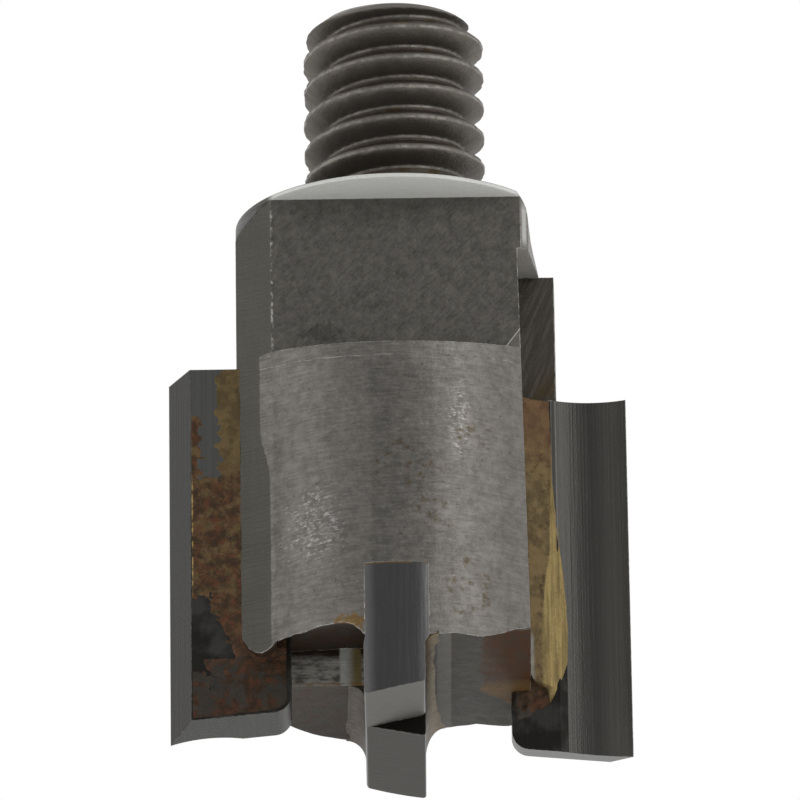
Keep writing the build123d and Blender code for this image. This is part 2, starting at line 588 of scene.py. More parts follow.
@dataclass(frozen=True)
class StudFinish:
    """Dark rolled steel of the thread, worn and painted lighter on its crests, with painted shade on its
    upper flanks.
    """

    # Dark colour painted as shade on the upper flanks and roots
    shaded_flank: Colour = tint("4d463f")
    flank: Colour = tint("66615a")
    # Light colour of the worn crests and of the painted highlight lines
    crest_wear_highlight: Colour = tint("8f8c86")
    rust: Colour = tint("42351f")
    pitch: float = 1.411
    start: float = 25.24

    def material(self) -> Material:
        """Build the material.

        Returns:
            The finished material.
        """
        g = Graph("stud_steel")
        cloud = g.noise(0.9, 5)
        grit = g.noise(9, 5, 0.65)
        rubbed = g.noise(3.0, 5, 0.62)
        turns = g.plus(
            g.times(g.plus(g.z, -self.start), 1 / self.pitch),
            g.times(g.math("ARCTAN2", g.y, g.x), -1 / math.tau),
        )
        phase = g.plus(g.math("FRACT", g.plus(turns, 0.5)), -0.5)
        # Painted shade: the upper flanks and roots, which face up, take the darker colour
        upper = g.within(phase, 0.09, 0.55, 0.02)
        colour = g.mix(upper, g.shade(self.flank, g.plus(0.8, g.times(cloud, 0.4))), self.shaded_flank)
        colour = g.mix(g.times(g.rise(cloud, 0.52, 0.66), upper, 0.8), colour, self.rust)
        # Painted highlights, partly real wear: a thin light line along each crest and another just below
        # each root
        frayed = g.plus(phase, g.times(g.noise(5.0, 3, 0.6), 0.06))
        crest_wear_and_glint = g.times(g.within(frayed, -0.03, 0.06, 0.02), g.rise(rubbed, 0.24, 0.66))
        root = g.times(g.within(phase, -0.48, -0.42, 0.02), g.rise(rubbed, 0.36, 0.62), 0.8)
        wear_and_highlight = g.times(g.most(crest_wear_and_glint, root), g.rise(g.z, 24.9, 25.2), 0.8)
        colour = g.mix(wear_and_highlight, colour, self.crest_wear_highlight)
        colour = g.shade(colour, g.plus(0.76, g.times(grit, 0.48)))
        gloss = g.between(wear_and_highlight, 0.52, 0.34)
        height = g.plus(g.times(grit, 0.6), g.times(rubbed, 0.4))
        normal, _ = g.arris(0.08)
        return g.finish(colour, 0.85, gloss, height, 0.05, normal)


@dataclass(frozen=True)
class BodyFinish:
    """Turned, milled and brazed steel of the body, with rust spots and burred edges."""

    turned: Colour = tint("7c7873")
    turned_dark: Colour = tint("65625d")
    milled: Colour = tint("605d58")
    land: Colour = tint("53514b")
    # Light colour of the painted light on the flange's underside, the top band and the lit edge
    rim: Colour = tint("d3d4cf")
    sooty: Colour = tint("4a453e")
    end_face: Colour = tint("3b3933")
    hollow_wall: Colour = tint("b3b0a8")
    # Light colour painted on the gullet's ceiling as light from below
    ceiling: Colour = tint("93908a")
    scorched: Colour = tint("36281d")
    copper: Colour = tint("3d230d")
    rust: Colour = tint("4f4229")
    # Light grey of burrs and tool marks, also used for the painted glints
    burr_and_glint: Colour = tint("c9c8c4")
    olive: Colour = tint("8f8057")
    gold: Colour = tint("7a6038")
    body_radius: float = 7.0
    flat_distance: float = 4.45

    def material(self) -> Material:
        """Build the material.

        Returns:
            The finished material.
        """
        g = Graph("body_steel")
        grit = g.noise(8, 6, 0.68)
        cloud = g.noise(0.7, 4)
        fleck = g.noise(5.5, 3, 0.6)
        arc = g.times(g.math("ARCTAN2", g.y, g.x), self.body_radius)
        turning = g.streaks(4, 0.6, g.times(arc, 0.8), 0.0, g.times(g.z, 8.0))
        upright = g.streaks(3, 0.5, g.times(g.x, 5.0), g.times(g.y, 5.0), g.times(g.z, 0.22))
        away = g.math("ABSOLUTE", g.ny)
        depth = g.math("ABSOLUTE", g.y)

        # Turned cylinder: level scratches, a darker band over the cross tip, painted glints crowded into
        # two lighter painted highlight patches
        rubs = g.noise(2.2, 5, 0.66)
        colour = g.mix(
            g.rise(g.plus(g.times(turning, 0.45), g.times(rubs, 0.55)), 0.36, 0.64),
            self.turned_dark,
            self.turned,
        )
        front = g.rise(g.y, -3.0, -4.0)
        band = g.times(g.within(g.x, -1.2, 1.5, 0.12), g.within(g.z, 6.0, 15.2, 0.5), front)
        colour = g.shade(colour, g.plus(1.0, g.times(band, -0.16), g.times(g.minus(cloud, 0.5), 0.5)))
        # Painted highlight: two patches where the light glints below crowd together
        highlight_patches = g.most(g.near(2.6, 12.6, 0.7, 2.6, g.times(rubs, 0.7)),
            g.near(-3.6, 8.2, 2.7, 3.4, g.times(rubs, 1.1)),
        )
        level = g.streaks(
            5, 0.7, g.times(g.plus(g.x, g.z), 2.4), 0.0, g.times(g.plus(g.z, g.times(g.x, -0.12)), 8.0)
        )
        # Painted highlight: light glints on the scratches, in the burr colour
        glints = g.times(
            g.rise(g.plus(g.times(fleck, 0.35), g.times(level, 0.65)), 0.47, 0.7),
            g.plus(0.16, highlight_patches),
            front,
            0.8,
        )
        colour = g.mix(g.math("MULTIPLY", glints, 1.0, clamp=True), colour, self.burr_and_glint)
        pits = g.times(g.rise(g.noise(3.8, 2), 0.68, 0.76), front, 0.5)
        colour = g.mix(pits, colour, self.scorched)
        spotted = g.most(g.most(g.near(0.3, 10.5, 1.6, 1.4), g.near(1.5, 8.5, 1.1, 0.9)),
            g.most(g.near(3.2, 12.1, 0.8, 1.4), g.near(2.9, 5.3, 1.1, 1.5)),
        )
        spots = g.times(g.rise(g.noise(2.6, 5, 0.6), 0.5, 0.7), spotted, front, 0.75)
        colour = g.mix(spots, colour, self.rust)

        # Tool marks where the run-out of the flat cutter touched the cylinder
        mark = g.plus(g.z, g.times(g.x, g.x, -0.012), g.times(g.noise(1.2, 2), 0.12))
        groove = g.times(g.within(mark, 15.64, 15.67, 0.035), g.rise(g.radius, 6.9, 6.96), front)
        broken = g.rise(g.noise(2.4, 4, 0.7), 0.4, 0.62)
        colour = g.mix(g.times(groove, broken, 0.5), colour, self.burr_and_glint)

        # Lands, milled flats and the dark face above the right tip
        wider = g.times(g.rise(g.z, 10.9, 13.4), g.rise(g.z, 16.75, 16.6), -0.42)
        border = g.plus(
            -5.44, wider, g.times(g.rise(g.z, 16.6, 16.75), 0.2), g.times(g.noise(1.1, 3, 0.6), -0.16)
        )
        land = g.rise(g.minus(border, g.times(g.math("ABSOLUTE", g.x), -1.0)), -0.03, 0.03)
        land = g.times(land, g.rise(g.y, 0.2, -0.2), g.rise(g.x, 0.0, -0.1))
        land = g.most(
            land,
            g.times(
                g.rise(g.radius, self.body_radius + 0.015, self.body_radius + 0.04), g.rise(g.y, -0.2, 0.2)
            ),
        )
        # Grain of the land, with painted shade: faces that look up are darkened to three tenths
        grain_and_shade = g.times(
            g.plus(
                0.82, g.times(upright, 0.2), g.times(cloud, 0.2), g.times(g.rise(g.z, 13.0, 9.0), -0.06)
            ),
            g.between(g.rise(g.nz, 0.2, 0.35), 1.0, 0.3),
        )
        colour = g.mix(land, colour, g.shade(self.land, grain_and_shade))
        milled = g.times(
            g.rise(away, 0.93, 0.985),
            g.within(depth, self.flat_distance - 0.15, self.flat_distance + 0.15, 0.03),
        )
        corner = g.plus(g.z, g.times(g.x, -1.35))
        milled = g.times(milled, g.rise(corner, 10.46, 10.52))
        blot = g.noise(2.0, 6, 0.72)
        scuff = g.streaks(
            5, 0.7, g.times(g.plus(g.x, g.z), 1.3), 0.0, g.times(g.plus(g.x, g.times(g.z, -1.0)), 6.0)
        )
        tone = g.plus(
            0.4,
            g.times(upright, 0.2),
            g.times(cloud, 0.4),
            g.times(g.rise(blot, 0.3, 0.7), 0.4),
            g.times(g.rise(scuff, 0.3, 0.7), 0.34),
        )
        tone = g.times(tone, g.between(g.near(-3.1, 17.5, 1.8, 0.8, g.times(blot, 0.9)), 1.0, 0.7))
        colour = g.mix(milled, colour, g.shade(self.milled, tone))
        nicks = g.times(milled, g.rise(g.noise(5.5, 3), 0.66, 0.74), 0.55)
        colour = g.mix(nicks, colour, self.turned)
        dotted = g.times(
            g.within(g.x, -5.42, -5.33, 0.03),
            g.rise(g.noise(3.2, 4, 0.7), 0.47, 0.6),
            g.rise(g.z, 16.6, 17.0),
            front,
        )
        colour = g.mix(g.times(dotted, 0.7), colour, self.burr_and_glint)
        # Painted highlight along one edge beside the flat, in the light rim colour
        lit_edge = g.times(g.within(g.x, 5.47, 5.66, 0.05), g.within(g.z, 21.6, 23.3, 0.25), front, 0.6)
        colour = g.mix(lit_edge, colour, self.rim)
        torn_corner = g.times(
            g.within(g.plus(corner, g.times(cloud, 0.1)), 10.47, 10.55, 0.03),
            g.rise(away, 0.9, 0.98),
            g.rise(g.x, 4.5, 4.6),
            front,
            0.8,
        )
        colour = g.mix(torn_corner, colour, self.burr_and_glint)
        slanted = g.streaks(4, 0.6, g.times(g.plus(g.x, g.times(g.z, -0.4)), 5.0), 0.0, g.times(g.z, 0.5))
        sooty = g.times(g.rise(away, 0.9, 0.98), g.within(depth, 1.05, 1.45, 0.05), g.rise(g.z, 8.0, 9.0))
        soot = g.shade(
            g.mix(g.rise(slanted, 0.4, 0.75), self.sooty, self.milled),
            g.between(g.rise(g.z, 14.5, 17.5), 0.6, 1.15),
        )
        soot = g.mix(g.times(g.rise(cloud, 0.46, 0.6), g.rise(g.z, 19.0, 15.0)), soot, self.rust)
        colour = g.mix(sooty, colour, soot)
        # Painted light: faces that look down, under the flange and in the gullet's ceiling, are painted
        # light as if lit from below, and a painted highlight runs round the narrow band at the top
        under = g.times(g.rise(g.nz, -0.6, -0.9), g.rise(g.z, 22.5, 23.0))
        colour = g.mix(under, colour, self.rim)
        ceiling = g.times(g.rise(g.nz, -0.6, -0.9), g.within(g.z, 20.9, 22.4, 0.1))
        colour = g.mix(ceiling, colour, g.shade(self.ceiling, g.plus(0.8, g.times(cloud, 0.4))))
        rim = g.times(g.rise(g.z, 23.68, 23.72), g.rise(g.radius, 6.6, 6.7), g.rise(away, 0.6, 0.68))
        colour = g.mix(rim, colour, self.rim)

        # End face, its hollow, the braze on it and the scorch marks
        low = g.rise(g.z, 5.6, 5.3)
        inward = g.times(low, g.rise(g.radius, 6.97, 6.9))
        inward = g.most(inward, g.times(low, g.rise(g.nz, -0.5, -0.8)))
        mottle = g.noise(1.9, 5, 0.65)
        end = g.mix(g.rise(mottle, 0.36, 0.66), self.end_face, g.shade(self.end_face, 0.72))
        end = g.mix(g.times(g.within(g.x, 1.5, 2.12, 0.06), 0.5), end, self.turned_dark)
        end = g.mix(g.times(g.within(g.x, 2.14, 2.2, 0.03), g.rise(g.y, 4.0, 0.0), 0.8), end, self.scorched)
        edge_x = g.plus(
            g.x, g.times(g.minus(mottle, 0.5), 1.3), g.times(g.most(g.plus(g.y, -1.0), 0.0), -0.75)
        )
        warm = g.mix(g.rise(g.noise(1.6, 5, 0.7), 0.38, 0.66), self.scorched, self.copper)
        warm = g.mix(
            g.times(g.rise(g.plus(g.y, g.times(cloud, 2.0)), 0.2, 1.6), 0.6), warm, g.shade(self.gold, 0.6)
        )
        end = g.mix(g.rise(edge_x, 3.3, 3.55), end, warm)
        roof = g.mix(g.rise(mottle, 0.46, 0.64), self.scorched, g.shade(self.end_face, 0.72))
        wall = g.rise(away, 0.6, 0.8)
        slots = g.streaks(4, 0.6, g.times(g.x, 1.2), 0.0, g.times(g.z, 3.4))
        plate = g.mix(g.rise(slots, 0.38, 0.58), g.shade(self.hollow_wall, 0.3), self.hollow_wall)
        plate = g.mix(g.rise(g.plus(g.z, g.times(slots, 0.8)), 4.5, 4.9), plate, self.scorched)
        patch_x = g.plus(g.x, g.times(cloud, 0.3))
        pale = g.times(
            g.within(patch_x, -2.5, -1.6, 0.06),
            g.rise(slots, 0.2, 0.3),
            g.rise(g.plus(g.z, g.times(g.x, 0.25)), 4.3, 4.1),
        )
        plate = g.mix(
            pale,
            plate,
            g.shade(
                g.mix(g.rise(patch_x, -2.3, -1.8), self.rim, self.olive), g.plus(0.55, g.times(mottle, 0.6))
            ),
        )
        foot = g.times(
            g.within(g.plus(g.z, g.times(mottle, 0.5)), 3.12, 3.4, 0.09), g.rise(mottle, 0.36, 0.6), 0.8
        )
        plate = g.mix(foot, plate, g.shade(self.gold, 1.5))
        roof = g.mix(wall, roof, plate)
        left = g.rise(g.x, -1.2, -1.5)
        end = g.mix(left, end, roof)
        behind = g.times(g.rise(g.y, -0.05, 0.05), left, g.rise(g.nz, -0.5, -0.9))
        brown = g.mix(g.rise(mottle, 0.36, 0.64), self.scorched, g.shade(self.end_face, 0.78))
        # Painted shade: the end behind the cross tip darkens towards the back
        brown = g.shade(brown, g.between(g.rise(g.y, 0.5, 6.5), 1.05, 0.7))
        end = g.mix(behind, end, brown)
        colour = g.mix(inward, colour, end)
        crumbs = g.plus(g.times(g.noise(4.5, 4, 0.7), 2.4), -1.1)
        golden = g.times(g.near(-2.1, 3.72, 0.8, 0.42, crumbs), front, 0.9)
        colour = g.mix(golden, colour, g.mix(g.rise(grit, 0.5, 0.66), self.gold, self.olive))

        # Burred, rubbed edges
        normal, edge = g.arris(0.07)
        torn = g.rise(g.noise(2.8, 4, 0.65), 0.4, 0.6)
        where = g.most(g.rise(g.z, 6.0, 5.0), g.within(g.z, 16.0, 23.0, 0.4))
        burred = g.times(edge, torn, g.between(where, 0.45, 0.9), g.plus(1.0, g.times(inward, -0.6)))
        colour = g.mix(burred, colour, self.burr_and_glint)
        colour = g.shade(colour, g.plus(0.8, g.times(grit, 0.4)))
        gloss = g.between(g.rise(grit, 0.3, 0.7), 0.36, 0.52)
        gloss = g.plus(gloss, g.times(inward, 0.12))
        relief = g.plus(
            g.times(grit, 0.35), g.times(turning, g.minus(1.0, milled), 0.5), g.times(groove, -0.5)
        )
        # The painted-light faces are made less metallic, so that they show their light colour
        highlit = g.most(ceiling, g.most(under, rim))
        metal = g.minus(0.85, g.most(g.times(inward, 0.85), g.times(highlit, 0.8)))
        shine = g.between(inward, 0.5, 0.12)
        return g.finish(colour, metal, gloss, relief, 0.05, normal, shine)


@dataclass(frozen=True)
class CarbideFinish:
    """Ground carbide of the side tips, with fine lines along the edge, and dull where it is relieved."""

    ground: Colour = tint("474643")
    relief: Colour = tint("1e1c18")
    end_bevel: Colour = tint("3e3e3a")
    sintered: Colour = tint("2b2a26")
    bare: Colour = tint("545552")
    glint: Colour = tint("b0afaa")
    back: float = 3.4

    def material(self) -> Material:
        """Build the material.

        Returns:
            The finished material.
        """
        g = Graph("side_tip_carbide")
        grit = g.noise(11, 4, 0.6)
        cloud = g.noise(0.8, 3)
        side = g.math("SIGN", g.x)
        fx = g.times(g.x, side)
        fy = g.times(g.y, side)
        lines = g.streaks(3, 0.5, g.times(g.x, 9.0), g.times(g.y, 9.0), g.times(g.z, 0.12))
        tone = g.plus(0.78, g.times(lines, 0.32), g.times(cloud, 0.14))
        colour = g.shade(self.ground, tone)
        rake = g.rise(g.times(g.ny, side), -0.8, -0.9)
        border = g.plus(6.64, g.times(g.rise(g.z, 13.5, 5.0), 0.5))
        unground = g.times(rake, g.rise(g.minus(fx, border), 0.02, -0.02))
        trailing = g.times(
            g.rise(g.times(g.ny, side), 0.9, 0.97), g.rise(fy, self.back - 0.1, self.back - 0.05)
        )
        rough = g.most(unground, trailing)
        dull = g.shade(g.mix(g.rise(cloud, 0.4, 0.62), self.sintered, self.ground), 0.72)
        dull = g.mix(
            g.times(trailing, g.rise(g.z, 7.5, 11.0)),
            dull,
            g.shade(self.bare, g.plus(0.7, g.times(lines, 0.6))),
        )
        colour = g.mix(rough, colour, dull)
        across = g.plus(g.between(g.rise(fx, 7.0, 8.3), 0.78, 1.0), g.times(g.rise(fx, 8.3, 9.4), 0.95))
        across = g.plus(across, g.times(g.rise(fx, 6.9, 6.78), g.rise(g.z, 6.0, 9.0), 1.2))
        colour = g.mix(g.times(rake, g.minus(1.0, unground)), colour, g.shade(colour, across))
        relieved = g.rise(g.times(g.nx, side), 0.6, 0.8)
        colour = g.mix(relieved, colour, g.shade(self.relief, tone))
        ended = g.rise(g.nz, -0.7, -0.9)
        scratch = g.streaks(3, 0.5, g.times(g.x, 7.0), g.times(g.y, 0.8), 0.0)
        colour = g.mix(ended, colour, g.shade(self.end_bevel, g.plus(0.75, g.times(scratch, 0.5))))
        normal, edge = g.arris(0.05)
        # Painted highlight: glints along the edges, which are also chipped
        chipped_edge_glint = g.times(edge, g.rise(g.noise(4.5, 3), 0.44, 0.62), 0.45)
        colour = g.mix(chipped_edge_glint, colour, self.glint)
        colour = g.shade(colour, g.plus(0.88, g.times(grit, 0.24)))
        gloss = g.plus(g.between(rough, 0.33, 0.55), g.times(grit, 0.08))
        relief = g.plus(g.times(lines, 0.5), g.times(grit, 0.3), g.times(rough, g.noise(3, 4), 0.8))
        metal = g.between(relieved, 0.8, 0.0)
        return g.finish(colour, metal, gloss, relief, 0.03, normal, g.between(relieved, 0.5, 0.12))


@dataclass(frozen=True)
class CrossCarbideFinish:
    """Ground carbide of the cross tip, with painted light on its end facets and a painted shadow on the
    step between them.
    """

    ground: Colour = tint("4a4a4b")
    light: Colour = tint("737271")
    lit_front_facet: Colour = tint("53524e")
    shaded_back_facet: Colour = tint("3f3e3a")
    # Near black of the painted shadow on the step
    step: Colour = tint("1d1c1a")
    brass: Colour = tint("6f5836")
    glint: Colour = tint("a09f9a")

    def material(self) -> Material:
        """Build the material.

        Returns:
            The finished material.
        """
        g = Graph("cross_tip_carbide")
        grit = g.noise(10, 4, 0.6)
        cloud = g.noise(0.9, 3)
        lines = g.streaks(3, 0.5, g.times(g.x, 7.0), g.times(g.y, 2.0), g.times(g.z, 0.3))
        level = g.streaks(3, 0.5, g.times(g.x, 0.4), g.times(g.y, 6.0), g.times(g.z, 8.0))
        edgeways = g.math("ABSOLUTE", g.plus(g.x, 0.17))
        colour = g.mix(g.rise(edgeways, 0.8, 1.45), self.ground, self.light)
        colour = g.shade(colour, g.plus(0.76, g.times(lines, 0.3), g.times(cloud, 0.18)))
        # Painted light: end facets that look down are lighter and less metallic, the front facet lit and
        # the back one shaded
        ended = g.rise(g.nz, -0.6, -0.85)
        facet_light_and_shade = g.mix(g.rise(g.y, -0.2, 0.2), self.lit_front_facet, self.shaded_back_facet)
        colour = g.mix(ended, colour, g.shade(facet_light_and_shade, g.plus(0.82, g.times(level, 0.36))))
        # Painted shadow: the step between the two end facets is near black
        step = g.rise(g.math("ABSOLUTE", g.ny), 0.8, 0.95)
        colour = g.mix(g.times(step, g.within(g.y, -0.5, 0.5, 0.1)), colour, self.step)
        brass = g.times(g.rise(g.z, 6.15, 6.2), g.rise(g.noise(3.0, 3), 0.34, 0.5), 0.8)
        colour = g.mix(brass, colour, self.brass)
        normal, edge = g.arris(0.05)
        # Painted highlight: glints along the edges, which are also chipped
        chipped_edge_glint = g.times(edge, g.rise(g.noise(4, 3), 0.42, 0.6), 0.5)
        colour = g.mix(chipped_edge_glint, colour, self.glint)
        colour = g.shade(colour, g.plus(0.88, g.times(grit, 0.24)))
        gloss = g.plus(g.plus(0.34, g.times(grit, 0.1)), g.times(ended, 0.25))
        relief = g.plus(g.times(g.between(ended, lines, level), 0.5), g.times(grit, 0.3))
        return g.finish(
            colour, g.between(ended, 0.8, 0.2), gloss, relief, 0.03, normal, g.between(ended, 0.5, 0.3)
        )


@dataclass(frozen=True)
class BrazeFinish:
    """Braze that ran out of the joints: golden where cut, brown and orange where heated, with painted light
    and shade.
    """

    name: str
    gold: Colour = tint("6d5c3d")
    # Bright gold of the painted highlight on the cut sliver
    highlit: Colour = tint("8a784d")
    brown: Colour = tint("3f3022")
    orange: Colour = tint("5c3b28")
    glint: Colour = tint("b39a62")
    # Dark colour of the painted shade on the left cross fillet
    burnt_and_shaded: Colour = tint("4d453c")
    ash: Colour = tint("3a3833")
    # Pale grey of the painted highlight on the seam's lower edge
    pale: Colour = tint("7d7a72")
    cut_sliver: bool = False
    in_shade: bool = False
    burnt_below: float = 11.4

    def material(self) -> Material:
        """Build the material.

        Returns:
            The finished material.
        """
        g = Graph(self.name)
        grit = g.noise(10, 5, 0.68)
        cloud = g.noise(1.3, 4, 0.6)
        stain = g.noise(2.6, 5, 0.65)
        side = g.math("SIGN", g.x)
        fx = g.times(g.x, side)
        colour = g.mix(g.rise(cloud, 0.42, 0.62), self.gold, g.shade(self.gold, 0.62))
        burnt_and_shaded = g.rise(g.plus(g.z, g.times(cloud, 3.0)), self.burnt_below + 2.6, self.burnt_below + 0.6)
        burnt_and_shaded = g.most(burnt_and_shaded, g.rise(fx, 8.3, 8.5))
        heated = g.mix(g.rise(stain, 0.42, 0.62), self.brown, self.orange)
        heated = g.mix(
            g.times(g.rise(g.noise(1.7, 6, 0.74), 0.44, 0.66), g.rise(g.z, 1.5, 8.0), 0.85),
            heated,
            self.gold,
        )
        arris = g.times(
            g.within(fx, 8.86, 8.97, 0.02), g.within(g.z, 6.3, 11.4, 0.6), g.rise(g.noise(2.6, 3), 0.4, 0.6)
        )
        heated = g.mix(arris, heated, self.glint)
        heated = g.shade(heated, g.between(g.rise(g.z, 3.6, 2.2), 1.0, 0.72))
        heated = g.mix(
            g.times(g.rise(g.noise(0.9, 5, 0.66), 0.47, 0.56), g.rise(g.z, 3.5, 2.7), 0.85),
            heated,
            self.ash,
        )
        if self.cut_sliver:
            start = g.plus(
                6.27,
                g.times(g.rise(g.z, 8.4, 5.4), -0.2),
                g.times(g.rise(g.z, 7.8, 9.6), 0.22),
                g.times(g.rise(g.z, 9.0, 14.5), 0.14),
            )
            # Painted highlight: the cut sliver of braze is painted bright, as a facet that faces the light
            lit_sliver = g.times(g.rise(g.minus(fx, start), -0.03, 0.03), g.rise(g.z, 14.9, 13.6))
            brushed = g.streaks(3, 0.5, g.times(fx, 5.0), 0.0, g.times(g.z, 0.3))
            lit = g.shade(self.highlit, g.plus(0.62, g.times(g.rise(brushed, 0.3, 0.7), 0.75)))
            colour = g.mix(g.times(g.rise(stain, 0.56, 0.68), 0.6), colour, self.brown)
            colour = g.mix(g.times(g.rise(g.z, 12.5, 15.0), 0.5), colour, self.orange)
            colour = g.mix(lit_sliver, colour, lit)
            # Painted highlight: a pale grey patch on the seam's lower edge
            lower_edge_highlight = g.times(g.rise(fx, 5.8, 5.62), g.within(g.z, 3.2, 5.4, 0.3))
            colour = g.mix(lower_edge_highlight, colour, self.pale)
        elif self.in_shade:
            # Painted shade: the left cross fillet lies in shade behind the tip, so this copy is dark and
            # dull
            colour = g.mix(g.rise(stain, 0.4, 0.62), self.burnt_and_shaded, g.shade(self.burnt_and_shaded, 0.75))
        elif self.name == "braze_fillet":
            # Painted shade: the fillet is darkened, most in its crease against the cross tip
            colour = g.shade(colour, g.between(g.rise(g.x, 1.02, 1.35), 0.5, 0.72))
        else:
            colour = g.mix(burnt_and_shaded, colour, heated)
        sparkle = g.times(g.rise(g.noise(7, 4, 0.65), 0.64, 0.76), 0.45)
        colour = g.mix(sparkle, colour, self.glint)
        colour = g.shade(colour, g.plus(0.75, g.times(grit, 0.5)))
        gloss = g.plus(0.36, g.times(stain, 0.22))
        normal, _ = g.arris(0.06)
        relief = g.plus(g.times(grit, 0.4), g.times(stain, 0.8))
        return g.finish(
            colour, 0.0 if self.in_shade else 0.7, gloss, relief, 0.06, normal, 0.12 if self.in_shade else 0.5
        )


class Side(Enum):
    """The two side tips, by where they stand in the front view."""

    RIGHT = "right"
    LEFT = "left"

    def place(self, item: Item) -> Item:
        """Turn a piece that was made for the right side to this side."""
        return half_turn(item) if self is Side.LEFT else item


@dataclass
class ThreadedStud:
    """The threaded end, with rounded crests, a plain collar and a chamfered top."""

    radius: float = 3.97
    depth: float = 0.8655
    pitch: float = 1.411
    crest_flat: float = 0.1975
    root_flat: float = 0.2822
    collar_radius: float = 4.0
    collar_top: float = 24.8
    thread_lift: float = 0.44
    sunk_to: float = 23.4
    top: float = 33.3
    end_radius: float = 3.3
    around: int = 216
    levels: int = 250
    finish: StudFinish = StudFinish()

    def profile(self, angle: np.ndarray, height: np.ndarray) -> np.ndarray:
        """Give the stud's radius at each angle and height.

        Args:
            angle: Angles round the axis, from 0 to a full turn.
            height: Heights.

        Returns:
            Radii.
        """
        turns = (height - self.thread_lift - self.collar_top) / self.pitch - angle / math.tau
        nearest = np.round(turns)
        away = np.abs(turns - nearest) * self.pitch
        foot = (self.pitch - self.root_flat) / 2
        share = np.clip((foot - away) / (foot - self.crest_flat / 2), 0, 1)
        rounded = 0.35 * share + 0.65 * np.sin(share * math.pi / 2)
        run = nearest * math.tau + angle
        fade = ease(run, 0, 1.2)
        dents = (
            ripple(angle * self.radius, height, 5, 0.9) * 0.022
            + ripple(angle * self.radius, height, 6, 3.1) * 0.015
        )
        radius = self.radius - self.depth + self.depth * rounded * fade
        radius = radius - np.abs(dents) * (0.4 + share)
        radius = np.where(height < self.collar_top, self.collar_radius, radius)
        crown = self.end_radius + (self.top - height) - 0.06 * (1 + ripple(angle, height, 8, 1.6))
        return np.minimum(np.minimum(radius, np.maximum(crown, 2.9)), self.collar_radius)

    def build(self) -> list[Item]:
        """Build the stud and dress it.

        Returns:
            The pieces, dressed and linked to the scene.
        """
        angle = np.linspace(0, math.tau, self.around, endpoint=False)[None, :]
        height = np.linspace(self.sunk_to, self.top, self.levels)[:, None]
        height = np.where(np.abs(height - self.collar_top) < 0.02, self.collar_top + 0.001, height)
        radius = self.profile(angle, height)
        stud = tube("threaded_stud", lattice(radius * np.cos(angle), radius * np.sin(angle), height))
        round_off(stud, 50)
        coat(stud, self.finish.material())
        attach(stud, "root")
        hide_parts("body")
        return [stud]


